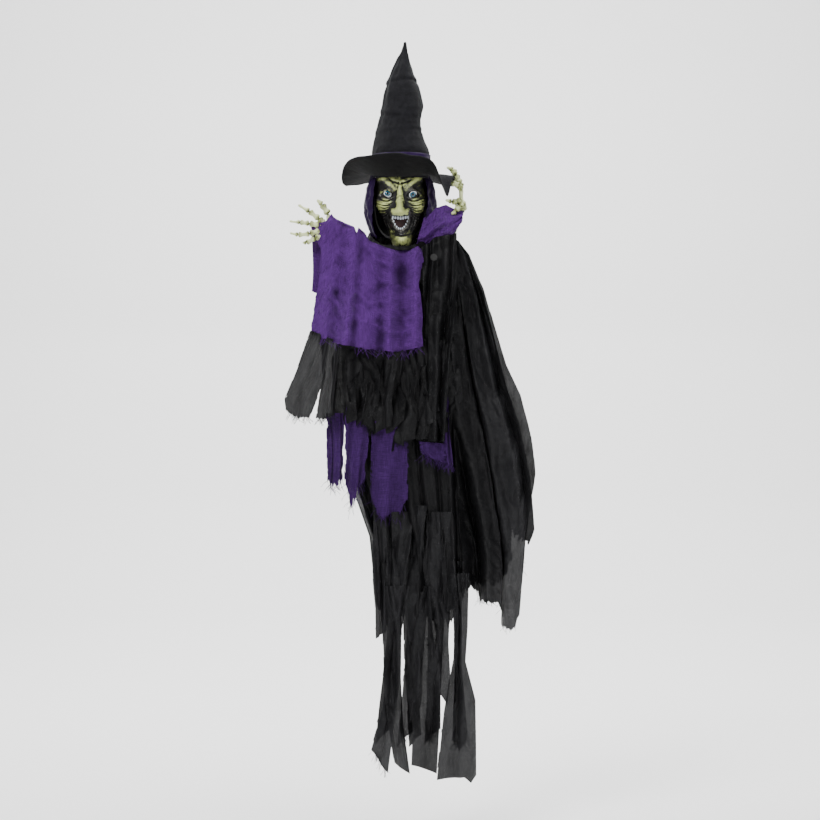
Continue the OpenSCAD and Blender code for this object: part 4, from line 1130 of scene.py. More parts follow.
# ---------------------------------------------------------------- hood and collar
def make_hood():
    """A satin hood round the back and sides of the head, with a gathered black collar under it."""
    share, angle = np.meshgrid(np.linspace(0, 1, 80), np.radians(np.linspace(-31, 211, 300)), indexing="ij")
    z = 107 - 100 * share
    front = 1 - smooth_step(0, 50, np.minimum(np.degrees(angle) + 31, 211 - np.degrees(angle)))
    wide = np.interp(share, [0, 0.2, 0.45, 0.7, 0.88, 1.0], [48, 55, 58.5, 57, 52, 46.5])
    fold = 2.2 * np.sin(angle * 13 + 2 * np.sin(share * 5)) * (0.25 + share * (1 - 0.4 * share))
    fold += 3.0 * rough(angle * 3, share * 2.2, 1, 4) + 1.6 * crumple(angle * 4, share * 5, 4)
    radius = wide + fold * smooth_step(0, 0.12, share) - front * 5.0 - 1.0 * front * np.sin(share * 24) ** 2
    radius = np.minimum(radius, 60)
    z = z - 5 * front * share + 2.5 * rough(angle * 5, share, 8, 3) * share
    points = np.stack([radius * np.cos(angle), NECK_Y + radius * np.sin(angle), z], -1)
    # Painted shade in the valleys of the hood's folds.
    hollow = np.clip(0.5 - fold / 6, 0, 1) * 0.8
    hood = surface("satin_hood", points, lengths(points), hollow=hollow)
    size = flat_size(points)
    outward(hood, 0.9)
    ride_as(hood, "head", "purple_satin", finish("satin"), "hood")

    share, angle = np.meshgrid(np.linspace(0, 1, 46), np.linspace(-math.pi, math.pi, 361)[:-1],
                               indexing="ij")
    front = np.clip(-np.sin(angle), 0, 1)
    fold = 1.6 * np.sin(angle * 23 + 2 * np.sin(angle * 3)) + 2.4 * rough(angle * 4, share * 2, 3, 4)
    radius = 49.5 + 3.5 * np.sin(share * math.pi) + fold * (0.35 + 0.65 * share)
    radius = np.clip(radius - 3.0 * front * (1 - share), 45.5, 54.5)
    z = 13 - 27 * front - 26 * share + 3 * rough(angle * 3, share + 4, 5, 3) * (1 - share)
    z = np.maximum(z, -21.0 + 2 * share)
    points = np.stack([radius * np.cos(angle), NECK_Y + radius * np.sin(angle), z], -1)
    # Painted shade in the valleys of the gathers.
    collar = surface("black_collar", points, lengths(points), wrap=True, thin=0.0,
                     hollow=np.clip(0.4 - fold / 5, 0, 1))
    size = flat_size(points)
    outward(collar)
    dress(collar, "torso", "black_cloth", "lining", ("collar",))


# ---------------------------------------------------------------- hands
LEFT_FINGERS = [
    [(-114, -150, 38), (-124, -154, 53), (-132, -156, 60)],
    [(-121, -152, 23), (-129, -157, 30), (-144, -160, 41.5), (-162, -157, 52)],
    [(-122, -153, 17), (-129, -158, 19.5), (-144, -161, 22), (-159, -160, 24), (-176, -156, 26)],
    [(-122, -153, 12), (-128, -158, 11), (-143.5, -162, 5.5), (-162, -160, 4), (-175, -157, 7)],
    [(-119, -153, 7), (-121, -157, 4), (-135, -160, -1), (-149, -159, -9), (-155, -158, -8)],
]
RIGHT_FINGERS = [
    [(97, -122, 90), (90, -126, 103), (84, -125, 112), (75, -124, 116)],
    [(99, -126, 80), (95, -130, 85), (84, -130, 91), (70, -129, 94.5)],
    [(99, -118, 84), (94, -116, 98), (86, -113, 113), (76, -113, 118)],
    [(98, -128, 64), (92, -130, 59), (83, -131, 60), (73, -129, 62.5)],
    [(98, -124, 58), (94, -128, 55), (90, -130, 44), (82, -129, 40)],
]


def bone_path(start, end, thick, knuckle, ends=(1.0, 1.0)):
    """One bone from joint to joint: a waisted shaft between two rounded heads."""
    start, end = np.array(start, float), np.array(end, float)
    t = np.linspace(0, 1, 25)
    length = np.linalg.norm(end - start)
    head = thick * knuckle
    near = np.exp(-(t * length / (head * 1.1)) ** 2) * ends[0]
    far = np.exp(-((1 - t) * length / (head * 1.1)) ** 2) * ends[1]
    radii = thick * (0.82 + 0.1 * np.cos(t * 6)) + (head - thick * 0.82) * np.maximum(near, far)
    cap = np.minimum(1, np.sqrt(np.clip(1 - (1 - np.minimum(t, 1 - t) * length / (head * 0.8)) ** 2, 0, 1)))
    cap = np.where(np.minimum(t, 1 - t) * length > head * 0.8, 1, cap)
    path = start + t[:, None] * (end - start)
    sag = np.cross(end - start, [0, 1, 0]) / max(length, 1e-6)
    path = path + sag * (0.03 * length * np.sin(t * np.pi))[:, None]
    stain = np.clip(np.maximum(near, far) * 1.3 - 0.25, 0, 1)
    return path, np.maximum(radii * cap, 0.25), stain


def bones(name, chains, thick, knuckle):
    """Finger bones in chains, each a little thinner than the last; the last one comes to a point."""
    made = []
    for chain in chains:
        for k, (a, b) in enumerate(zip(chain, chain[1:])):
            last = k == len(chain) - 2
            size = thick * (1.0 - 0.12 * k)
            path, radii, stain = bone_path(a, b, size, knuckle, (1.0, 0.55 if last else 1.0))
            if last:
                radii = radii * np.linspace(1.0, 0.55, len(radii))
            grid = tube(path, radii, 16)
            dark = np.concatenate([[stain[0]], stain, [stain[-1]]])[:, None]
            made.append(outward(surface(name, grid, wrap=True,
                                        groove=np.broadcast_to(dark, grid.shape[:2]))))
    return made


def make_hands(settings):
    """Both bony hands: palms, fingers and the wrist bosses they turn on."""
    thick, knuckle = settings.bone / MM, settings.knuckle
    boss = np.array((-112, -152, 12.0))
    aim = np.array((-0.96, -0.16, 0.23))
    palm = [[tuple(boss + aim * 2 + (0, 0, s)), chain[0]]
            for chain, s in zip(LEFT_FINGERS, (7, 4, 0, -4, -7))]
    left = bones("left", palm + LEFT_FINGERS, thick, knuckle)
    path = [boss + aim * s for s in (0.5, 3, 8, 13, 15)]
    left.append(outward(surface("left", tube(path, [6, 9.5, 8.5, 8, 4], 24), wrap=True, groove=0.6)))
    ride_as(joined("left_bones", left), "left_hand", "bone", finish("bone"), "left_palm", "left_fingers")

    wrist = np.array((100.5, -118, 46.0))
    palm = [[tuple(wrist + (0, s, 6)), chain[0]] for chain, s in zip(RIGHT_FINGERS, (-2, -6, 2, -7, -5))]
    right = bones("right", palm + RIGHT_FINGERS, thick, knuckle)
    path = [wrist + (0, 0, s) for s in (0.5, 3, 9, 14, 17)]
    right.append(outward(surface("right", tube(path, [5, 7.5, 6.5, 6, 3], 24), wrap=True, groove=0.6)))
    ride_as(joined("right_bones", right), "right_hand", "bone", finish("bone"), "right_palm",
            "right_fingers")


# ---------------------------------------------------------------- shawl and sleeves
SHAWL_TOP = [(-145, 20), (-132, 26), (-121, 28), (-112, 40), (-107, 34), (-89, 25), (-75, 20), (-71, 11),
             (-68, 20), (-57, 12), (-50, 0), (-26, -10), (-8, -16), (16, -16), (23, -12), (29, -9),
             (36, -16), (39, -31)]
SHAWL_FOOT = [(-145, -152), (-130, -157), (-115, -162), (-92, -170), (-60, -175), (-30, -179), (-1, -181),
              (18, -177), (36, -172)]


def shawl_depth(x, z, fold, crease, seed):
    """How far back the shawl lies: nearer the arm it comes forward, with long folds running down."""
    y = np.interp(x, [-145, -125, -100, -70, -40, 0, 36], [-160, -167, -170, -169, -164, -158, -153])
    drop = np.clip((20 - z) / 190, 0, 1)
    for top, foot, wide, deep in ((-71, -89, 8, 10), (-108, -122, 14, 5), (-45, -58, 16, 5),
                                  (-10, -19, 8, 10), (25, 24, 7, 8)):
        middle = top + (foot - top) * drop
        y = y - fold * deep * np.exp(-((x - middle) / wide) ** 2) * (0.45 + 0.55 * drop)
    for top, foot, wide, deep in ((-89, -112, 9, 9), (-27, -34, 9, 8), (5, 3, 8, 9), (-60, -76, 6, 5)):
        middle = top + (foot - top) * drop
        y = y + fold * deep * np.exp(-((x - middle) / wide) ** 2) * (0.4 + 0.6 * drop)
    y = y + fold * 7 * bump(x, z, 2, -56, 12, 22) - fold * 4 * bump(x, z, -60, -45, 25, 14)
    for points, deep in (([(-66, 8), (-40, -30), (-8, -44)], 5),
                         ([(-84, -70), (-50, -104), (-16, -96)], 4.5),
                         ([(-60, -20), (-30, -66), (6, -78)], 5),
                         ([(-120, -60), (-100, -110), (-84, -150)], 4),
                         ([(-12, -110), (8, -128), (30, -118)], 4),
                         ([(-52, -130), (-20, -150), (20, -146)], 4)):
        y = y - fold * deep * 0.45 * along(x, z, points, 3.5)
        y = y + fold * deep * 0.3 * along(x + 3, z + 7, points, 6.0)
    wave = crumple(x / 55 + z / 90, z / 80, seed, 4) * 3.4
    wave = wave + crumple(x / 22 - z / 30, z / 30, seed + 4, 3) * 1.5
    wave = wave + rough(x / 28, z / 34, seed + 6, 2) * 8.0 + rough(x / 10, z / 12, seed + 2, 3) * 1.6
    return y + crease * wave


def frayed(name, body, slot, look, edge, aims, **inputs):
    """Loose threads that stand off a torn edge; edge and aims are arrays in millimetres."""
    made = repeated(name, "Frayed threads", edge, aims, look, **inputs)
    return ride_as(made, body, slot, finish(look))


def edge_threads(name, x, y, z, where, body, slot, look, settings, down=1.0, length=0.012):
    """Picks places along some cells of a grid and hangs loose threads there."""
    pick = random.Random(settings.seed + len(name))
    places = [(float(x[k]), float(y[k]), float(z[k])) for k in where]
    if not places:
        return None
    chosen = [pick.choice(places) for _ in range(settings.threads)]
    aims = [(pick.uniform(-0.8, 0.8), pick.uniform(-0.25, 0.12), -down * pick.uniform(0.4, 1.0))
            for _ in chosen]
    return frayed(name, body, slot, look, chosen, aims, Length=length, Radius=0.00022, Wobble=length * 0.9)


def foot_of(keep):
    """For each column of a grid, the lowest row that is kept."""
    rows = keep.shape[0]
    return rows - 1 - np.argmax(keep[::-1], axis=0)


def make_shawl(settings):
    """The gauze that hangs over the chest from the left arm and falls over behind it."""
    rows, cols = 300, 300
    v, u = np.meshgrid(np.linspace(0, 1, rows), np.linspace(0, 1, cols), indexing="ij")
    top, foot = np.array(SHAWL_TOP, float), np.array(SHAWL_FOOT, float)
    left = np.interp(v, [0, 0.25, 0.65, 1], [-145, -128, -137, -146]) + 3 * rough(v * 9, 0, 3, 3)
    right = np.interp(v, [0, 0.1, 0.35, 0.65, 1], [39, 37, 31, 36, 37]) + 2 * rough(v * 9, 3, 5, 3)
    x = left * (1 - u) + right * u
    line = np.interp(x, top[:, 0], top[:, 1]) + settings.fray / MM * 0.4 * rough(u * 60, 0, 4, 3)
    base = np.interp(x, foot[:, 0], foot[:, 1]) + settings.fray / MM * 1.1 * rough(u * 45, 1, 6, 3)
    z = line + (base - line) * v
    sway = settings.fold * 2.4 * np.sin(u * 19 + 3 * v + 2 * np.sin(v * 5))
    sway = sway * np.sin(np.pi * u) * (0.2 + 0.8 * v)
    x = x + sway
    y = shawl_depth(x, z, settings.fold, settings.crease, settings.seed)
    y = y + 4.5 * np.exp(-((z - line) / 4.0) ** 2) + 2.5 * np.exp(-(v - 1) ** 2 / 0.0008)
    x, z = placed(x, z, y)
    keep = torn(u, v, 3, hole_level=2.0, foot=0.0015, side=0.003, scale=40)
    # Painted shade where the gauze lies back of its surroundings, and in the deep fold below the middle of
    # the chest.
    hollow = np.clip((blurred(-y, 14) + y) * 0.22 + 0.1, 0, 1) + 0.7 * bump(x, z, 2, -56, 10, 18)
    back, _ = np.meshgrid(np.linspace(1, 0, 110, endpoint=False), u[0], indexing="ij")
    over = smooth_step(-50, -78, x[0])[None, :]
    over_y = np.interp(x[0], [-145, -112, -70, -40], [-144, -136, -116, -112])[None, :]
    turn = np.clip(back / 0.16, 0, 1)
    behind_y = y[0] + (over_y - y[0]) * (1 - np.cos(turn * math.pi / 2)) ** 0.8 * over
    ripple = 3 * np.sin(u[0] * 23 + back * 4) + 3 * rough(u[0] * 6, back * 4, 5, 3)
    behind_y = behind_y + over * ripple * back
    drop = np.clip(back - 0.1, 0, 1) * (118 + 14 * rough(u[0] * 9, 0, 7, 3))
    behind_z = z[0] + over * (4 * np.sin(turn * math.pi) - drop) - (1 - over) * 2.0 * back
    behind_x = np.broadcast_to(x[0] + 4 * np.sin(back * 3 + 9 * u[0]) * back, back.shape)
    x, y, z = np.vstack([behind_x, x]), np.vstack([behind_y, y]), np.vstack([behind_z, z])
    keep = np.vstack([np.broadcast_to(over > 0.03, back.shape), keep])
    # The part over and behind the arm gets a little painted shade all over.
    hollow = np.vstack([np.full(back.shape, 0.15), hollow])
    points = np.stack([x, y, z], -1)
    shawl = surface("gauze_shawl", points, lengths(points), keep=keep, hollow=np.clip(hollow, 0, 1))
    size = flat_size(points)
    dress(shawl, None, "purple_gauze", "gauze", ("shawl_arm", "shawl_chest"))
    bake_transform(shawl)
    low = foot_of(keep)
    inner = [k for k in range(110, cols - 8)]
    pick = np.array([low[k] for k in inner])
    edge_threads("shawl_threads", x[pick, inner], y[pick, inner], z[pick, inner], range(len(inner)), "torso",
                 "purple_gauze", "gauze", settings, length=0.014)
    outer = [k for k in range(4, 70)]
    pick = np.array([low[k] for k in outer])
    edge_threads("shawl_arm_threads", x[pick, outer], y[pick, outer], z[pick, outer], range(len(outer)),
                 "left_arm",
                 "purple_gauze", "gauze", settings, length=0.012)


def make_right_sleeve(settings):
    """Gauze wound round the raised forearm and hanging below it."""
    v, u = np.meshgrid(np.linspace(0, 1, 130), np.linspace(0, 1, 190), indexing="ij")
    top_x, top_z = line_at([(38, 36), (50, 44), (58, 53), (74, 58), (86, 52), (103, 46)], u[0])
    low_x, low_z = line_at([(24, -14), (36, -13), (49, -8), (66, 0), (84, 7), (101, 30)], u[0])
    around = -0.25 + 1.5 * v
    x = top_x * (1 - v) + low_x * v
    z = top_z * (1 - v) + low_z * v
    y = np.interp(x, [35, 60, 84, 100], [-121, -124, -126, -128])
    y = y - 9.0 * np.sin(np.clip(around, 0, 1.25) * math.pi / 1.25)
    wave = 2.4 * np.sin(v * 17 + u * 5) * np.sin(np.pi * v)
    wave = wave + 2.6 * crumple(u * 5 + v, v * 5, settings.seed, 3)
    y = y + settings.fold * wave * 0.9 + settings.crease * 1.2 * rough(u * 14, v * 14, 4, 3)
    y = y - 6 * smooth_step(60, 30, x)
    x, z = placed(x, z, y)
    points = np.stack([x, y, z], -1)
    # Painted shade where the gauze lies back of its surroundings.
    hollow = np.clip((blurred(-y, 8) + y) * 0.25, 0, 1)
    sleeve = surface("gauze_sleeve", points, lengths(points), hollow=hollow,
                     keep=torn(u, v, 7, hole_level=1.2, foot=0.02, side=0.01, scale=9))
    size = flat_size(points)
    dress(sleeve, None, "purple_gauze", "gauze", ("right_sleeve",))
    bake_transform(sleeve)


# ---------------------------------------------------------------- black and purple rags
def rag(name, rows, cols, left, right, y, settings, seed, top=None, foot=None, wave=4.0, count=5.0,
        crush=3.0, tear=(0.03, 0.02, 9.0, 2.0), thin=1.0, twist=0.0):
    """A hanging piece of thin cloth between two edges; gathers run down it and grow towards the foot."""
    x, depth, z, u, v = between(rows, cols, left, right, y)
    if top is not None:
        line = np.interp(x[0], *np.array(top, float).T)
        z = z + (line - z[0])[None, :] * (1 - v) ** 1.5
    if foot is not None:
        line = np.interp(u[0], *np.array(foot, float).T)
        z = z + (line - z[-1])[None, :] * v ** 1.5
    turn = u * count * 2 * math.pi + 1.4 * np.sin(v * 3 + seed) + 2.0 * rough(u * 2, v * 1.5, seed, 2)
    gather = np.sin(turn) * (0.35 + 0.65 * v) + 0.4 * np.sin(2.3 * turn + seed)
    size_x, size_z = abs(x[:, -1] - x[:, 0]).max(), abs(z[0] - z[-1]).max()
    crinkle = crumple(u * size_x / 46 + seed, v * size_z / 90, seed, 4)
    small = rough(u * size_x / 9, v * size_z / 22, seed + 1, 3)
    shift = settings.fold * wave * gather + settings.crease * (crush * crinkle + 1.1 * small)
    side = twist * np.sin(v * 4.2 + seed * 1.7) * (u - 0.5)
    y = depth + shift + side * np.clip(abs(x[:, -1:] - x[:, :1]), 0, 60)
    x = x + settings.fold * 0.5 * wave * np.cos(turn) * np.sin(np.pi * u)
    keep = torn(u, v, seed, tear[3], tear[0], tear[1], tear[2])
    # Painted shade, deeper where the cloth lies back in its gathers and creases.
    hollow = np.clip(0.25 + shift / (2.2 * wave + crush), 0, 1) * 0.7
    points = np.stack([x, y, z], -1)
    sheet_size = flat_size(points)
    made = surface(name, points, lengths(points), keep=keep, thin=thin, hollow=hollow)
    return made, sheet_size, (x, y, z, keep)


def dress(made, body, slot, look, nodes):
    """Gives a made cloth its body and its finish, and hides the frame parts it stands for."""
    ride_as(made, body, slot, finish(look), *nodes)


def black(made, size, node, rests, held="hung", body="torso"):
    """Dresses a piece of black cloth that stands for one node."""
    dress(made, body, "black_cloth", "black", (node,))


def several(name, parts):
    """Rags joined into one piece, with the flat size of all of them side by side."""
    width = sum(size[0] for _, size, _ in parts)
    length = max(size[1] for _, size, _ in parts)
    return joined(name, [made for made, _, _ in parts]), (width, length)


def fringe_of(name, body, slot, look, settings, parts, length=0.01):
    """Loose threads along the torn feet of some rags."""
    for k, (_, _, (x, y, z, keep)) in enumerate(parts):
        low, cols = foot_of(keep), np.arange(x.shape[1])
        good = [c for c in cols[3:-3] if low[c] > 4]
        edge_threads(f"{name}_{k}", x[low[good], good], y[low[good], good], z[low[good], good],
                     range(len(good)), body, slot, look, settings, length=length)


# Left edge, right edge, depth, foot as (share across, height)
FLAPS = [
    ([(-146, -146), (-165, -200), (-188, -257), (-186, -277)],
     [(-114, -156), (-122, -223), (-139, -268), (-148, -291)],
     -165, [(0, -277), (0.4, -288), (1, -291)]),
    ([(-130, -156), (-126, -223), (-138, -288)], [(-96, -162), (-102, -230), (-106, -287)],
     -160, [(0, -288), (0.5, -291), (1, -284)]),
]
STRIPS = [
    ([(-120, -280), (-119, -402)], [(-90, -280), (-93, -396)], -137, [(0, -394), (0.5, -404), (1, -390)]),
    ([(-88, -210), (-90, -300), (-91, -400)], [(-50, -206), (-48, -300), (-58, -404)], -141,
     [(0, -392), (0.4, -438), (0.6, -416), (1, -396)]),
    ([(-46, -290), (-48, -380), (-49, -440)], [(12, -290), (14, -380), (12, -442)], -139,
     [(0, -418), (0.2, -446), (0.5, -456), (0.8, -448), (1, -424)]),
    ([(66, -226), (68, -300), (72, -366)], [(80, -232), (79, -300), (87, -366)], -142,
     [(0, -358), (0.5, -370), (1, -366)]),
    ([(30, -326), (34, -350)], [(76, -330), (74, -362)], -144, [(0, -346), (0.5, -354), (1, -362)]),
]


def ribbon_edges(top, foot, wide, bend, pick):
    """Both edges of a narrow strip whose middle runs from top to foot, (x, z), with a bend in it."""
    shares = (0, 0.25, 0.5, 0.75, 1)
    edges = [], []
    for s in shares:
        x = top[0] + (foot[0] - top[0]) * s + bend * math.sin(math.pi * s)
        z = top[1] + (foot[1] - top[1]) * s
        half = wide * (0.5 + pick.uniform(-0.14, 0.14))
        for edge, side in zip(edges, (-1, 1)):
            edge.append((x + side * half, z))
    return edges


def ruffle_ribbons(settings):
    """Many short ribbons bunched under the shawl, fanned out and overlapping."""
    pick = random.Random(settings.seed + 20)
    made = []
    for k in range(22):
        middle = -94 + 8.4 * k
        drop = pick.uniform(0.72, 1.0)
        floor = np.interp(middle, [-96, -60, -20, 20, 60, 90], [-286, -312, -322, -334, -318, -306])
        top = (middle * 0.9 + pick.uniform(-9, 9), pick.uniform(-164, -156))
        foot = (middle + pick.uniform(-16, 18), -160 + (floor + 160) * drop)
        wide = pick.uniform(26, 50)
        left, right = ribbon_edges(top, foot, wide, pick.uniform(-12, 12), pick)
        slope = pick.uniform(-18, 18)
        y = pick.uniform(-148, -137)
        line = [(0, foot[1] - slope), (0.5, foot[1] - pick.uniform(0, 8)), (1, foot[1] + slope)]
        made.append(rag("ribbon", 90, 26, left, right, y, settings, k, foot=line, wave=pick.uniform(2.0, 5.0),
                        count=pick.uniform(0.5, 1.2), crush=9.5, tear=(0.0, 0.0, 8.0, 2.0), thin=0.35,
                        twist=pick.uniform(0.3, 0.9)))
    return made


def make_rags(settings):
    """The flaps under the left arm, the ruffle at the waist, and the purple strips below it."""
    flaps = []
    for k, (left, right, y, foot) in enumerate(FLAPS):
        flaps.append(rag("flap", 150, 60, left, right, y, settings, 5 + k, foot=foot, wave=3.0, count=2.2,
                         crush=4.0, tear=(0.02, 0.03, 6.0, 2.0)))
    black(*several("sleeve_rags", flaps), "sleeve_flap", ("gauze_shawl",), body="left_arm")
    fringe_of("flap_threads", "left_arm", "black_cloth", "black", settings, flaps)

    ruffles = ruffle_ribbons(settings)
    black(*several("waist_rags", ruffles), "waist_ruffle", ("chest_front",), held="gathered")
    fringe_of("ruffle_threads", "torso", "black_cloth", "black", settings, ruffles[::6])

    strips = []
    for k, (left, right, y, foot) in enumerate(STRIPS):
        strips.append(rag("strip", 160, 70, left, right, y, settings, 3 + k, foot=foot, wave=2.4, count=1.5,
                          crush=2.4, tear=(0.05, 0.06, 10.0, 2.0)))
    made, size = several("purple_rags", strips)
    dress(made, "torso", "purple_gauze", "strip", ("purple_strips",))
    fringe_of("strip_threads", "torso", "purple_gauze", "strip", settings, strips, 0.013)


# Garments cut in one piece: left edge, right edge and depth; a foot is (share across, height)
BODICE = ([(-52, -70), (-60, -150), (-64, -186)], [(50, -70), (58, -150), (62, -186)], -141)
ROBE_FRONT = ([(-96, -160), (-92, -300), (-78, -380), (-56, -450), (-41, -486), (-40, -600)],
              [(84, -160), (88, -300), (94, -420), (100, -520), (98, -600)], -129)
ROBE_FRONT_FOOT = [(0, -560), (0.2, -600), (0.35, -575), (0.5, -610), (0.7, -585), (0.85, -612), (1, -590)]
ROBE_BACK = ([(-62, -34), (-82, -180), (-78, -400), (-50, -480), (-38, -640)],
             [(62, -34), (86, -180), (104, -400), (106, -560), (100, -640)], -51)
ROBE_BACK_FOOT = [(0, -600), (0.15, -640), (0.3, -610), (0.5, -640), (0.7, -618), (0.85, -640), (1, -600)]
# Front edge and back edge of each side of the robe
ROBE_SIDES = (
    ([(-60, -22), (-62, -100), (-92, -165), (-90, -300), (-76, -380), (-55, -450), (-40, -490), (-39, -600)],
     [(-62, -30), (-72, -100), (-82, -180), (-78, -400), (-50, -480), (-38, -600)]),
    ([(60, -22), (62, -100), (84, -165), (88, -300), (94, -420), (99, -520), (97, -596)],
     [(62, -30), (72, -100), (86, -180), (104, -400), (106, -560), (100, -596)]),
)
# Long shreds: top, foot, width, bend, depth, how far the foot slants
SHREDS = [
    ((-34, -430), (-31, -636), 22, 0, -136, 6), ((-18, -420), (-12, -628), 30, 3, -133, -8),
    ((4, -440), (-8, -612), 28, 2, -137, 10), ((30, -430), (24, -640), 30, -3, -132, 14),
    ((52, -440), (50, -610), 30, 4, -136, -12), ((76, -440), (74, -600), 28, 2, -133, 8),
    ((-16, -560), (-34, -838), 26, 14, -134, -20), ((-20, -570), (-28, -800), 24, 6, -128, 14),
    ((2, -560), (3, -850), 25, -16, -136, -8), ((10, -560), (12, -800), 30, 10, -129, 18),
    ((34, -570), (24, -806), 26, -8, -134, 10), ((30, -560), (38, -852), 42, 8, -131, -7),
    ((60, -560), (52, -800), 30, 0, -127, 14), ((62, -560), (66, -730), 28, 4, -130, -20),
]
SHREDS_WIDE = [
    ([(82, -540), (88, -620), (86, -676), (70, -760), (58, -864)],
     [(112, -540), (110, -620), (106, -680), (122, -740), (124, -862)], -138,
     [(0, -866), (0.7, -864), (0.85, -874), (1, -862)]),
    ([(84, -520), (86, -600), (88, -690), (84, -800)],
     [(104, -520), (100, -600), (100, -690), (110, -800)], -132,
     [(0, -806), (0.5, -820), (1, -800)]),
]


def wrap(name, rows, cols, front, back, front_y, back_y, settings, seed):
    """Cloth that closes the side of a garment, from its front edge round to its back edge."""
    v, u = np.meshgrid(np.linspace(0, 1, rows), np.linspace(0, 1, cols), indexing="ij")
    fx, fz = line_at(front, v[:, 0])
    bx, bz = line_at(back, v[:, 0])
    front_x, front_z = placed(fx, fz, front_y)
    back_x, back_z = placed(bx, bz, back_y)
    x = front_x[:, None] * (1 - u) + back_x[:, None] * u
    z = front_z[:, None] * (1 - u) + back_z[:, None] * u
    y = front_y * (1 - u) + back_y * u + 3 * np.sin(v * 9 + seed) * np.sin(np.pi * u)
    inward = -np.sign(x.mean())
    fold = 4.0 * np.sin(u * 15 + 2 * np.sin(v * 4 + seed)) * (0.3 + 0.7 * v)
    fold = fold + 7 * crumple(u * 2 + seed, v * 7, seed, 4)
    x = x + inward * (3 + settings.fold * abs(fold)) * np.sin(np.pi * u) ** 0.6
    points = np.stack([x, y, z], -1)
    keep = torn(u, v, seed, 2.0, 0.02, 0.0, 6.0)
    # Painted shade in the valleys of the folds.
    made = surface(name, points, lengths(points), keep=keep, thin=0.5,
                   hollow=np.clip(0.4 - fold / 12, 0, 1) * 0.7)
    return made, flat_size(points), (x, y, z, keep)


def shoulders(settings):
    """The robe's yoke: it lies on the shoulder bar, open for the neck, the arms and the hanger."""
    v, u = np.meshgrid(np.linspace(0, 1, 110), np.linspace(0, 1, 140), indexing="ij")
    x, y = -64 + 128 * u, -142 + 92 * v
    z = -14.5 - 16 * np.clip((abs(v - 0.5) - 0.34) / 0.16, 0, 1) ** 1.6
    z = z - 14 * np.clip((abs(x) - 56) / 8, 0, 1) ** 2
    z = z + 1.6 * rough(u * 7, v * 7, 4, 3) * settings.fold
    keep = (np.hypot(x, y - NECK_Y) > 43) & (np.hypot(abs(x) - 58, y - NECK_Y) > 10.5)
    keep &= (abs(x) > 13) | (y < -66)
    points = np.stack([x, y, z], -1)
    # A little painted shade all over the yoke.
    made = surface("yoke", points, lengths(points), keep=keep, thin=0.2, hollow=0.2)
    return made, flat_size(points), (x, y, z, keep)


def make_robe(settings):
    """A bodice, the robe's front, its long shreds, and its back with sides and yoke."""
    made, size, _ = rag("black_bodice", 90, 110, *BODICE, settings, 6, wave=2.0, count=4.0, crush=2.0,
                        tear=(0.0, 0.0, 5.0, 2.0), thin=0.2)
    black(made, size, "bodice", ("chest_front",))

    made, size, _ = rag("robe_front_sheet", 420, 220, *ROBE_FRONT, settings, 4, foot=ROBE_FRONT_FOOT,
                        wave=4.0, count=5.2, crush=5.0, thin=0.3, tear=(0.03, 0.008, 7.0, 0.95))
    black(made, size, "robe_front", ("black_bodice",))

    pick = random.Random(settings.seed + 40)
    parts = []
    for k, (top, foot, wide, bend, y, slant) in enumerate(SHREDS):
        left, right = ribbon_edges(top, foot, wide, bend, pick)
        line = [(0, foot[1] - slant), (0.8, foot[1] + 0.6 * slant), (1, foot[1] + slant)]
        parts.append(rag("shred", 260, 30, left, right, y, settings, 3 + k, foot=line, wave=3.5, count=0.9,
                         crush=8.0, tear=(0.0, 0.01, 8.0, 2.0), twist=0.75))
    for k, (left, right, y, foot) in enumerate(SHREDS_WIDE):
        parts.append(rag("shred", 260, 60, left, right, y, settings, 9 + k, foot=foot, wave=5.0, count=1.2,
                         crush=9.0, tear=(0.0, 0.01, 8.0, 2.0), twist=0.4))
    black(*several("robe_shreds", parts), "robe_tails", ("robe_front_sheet",))
    fringe_of("tail_threads", "torso", "black_cloth", "black", settings, parts[6::3], 0.01)

    back = rag("robe_back", 420, 220, *ROBE_BACK, settings, 7, foot=ROBE_BACK_FOOT,
               wave=3.4, count=5.2, crush=3.2, tear=(0.03, 0.012, 7.0, 2.0))
    sides = [wrap("robe_side", 300, 50, *edges, -137, -54, settings, 3 + k)
             for k, edges in enumerate(ROBE_SIDES)]
    made, size = several("robe_back_sheet", [back, *sides, shoulders(settings)])
    black(made, size, "robe_back", ("chest_back", "shoulder_bar"))


# The cape: its outer edge, the line it turns to at the back, and the outlines of its three parts
CAPE_EDGE = [(94, 0), (112, -25), (136, -87), (151, -146), (173, -235), (196, -298), (213, -387), (218, -437),
             (220, -469)]
CAPE_TURN = [(94, -8), (128, -120), (160, -300), (178, -480)]
CAPE_FRONT = ([(34, -14), (38, -120), (44, -220), (44, -326)],
              [(92, 6), (92, -80), (80, -200), (72, -326)], -153)
CAPE_FRONT_TOP = [(36, -14), (50, -4), (62, 2), (90, 8)]
CAPE_SIDE_INNER = [(70, 2), (70, -120), (66, -300), (76, -420), (100, -520), (106, -600)]
CAPE_SIDE_FOOT = [(0, -566), (0.12, -572), (0.26, -590), (0.44, -594), (0.62, -629), (0.76, -634),
                  (0.84, -612), (0.9, -545), (0.95, -507), (1, -470)]
CAPE_BACK = ([(-64, -32), (-78, -160), (-78, -360), (-48, -490), (-36, -580)],
             [(92, -4), (128, -120), (166, -330), (186, -560)], -44)
CAPE_BACK_FOOT = [(0, -560), (0.15, -588), (0.3, -566), (0.5, -590), (0.7, -570), (0.85, -588), (1, -540)]


def cape_depth(x, z):
    """How far back the cape's side lies: it turns away outside the arm and comes forward again lower down."""
    near = smooth_step(84, 120, x) * smooth_step(-30, -120, z)
    return -140 + 28 * near + 8 * smooth_step(-200, -450, z)


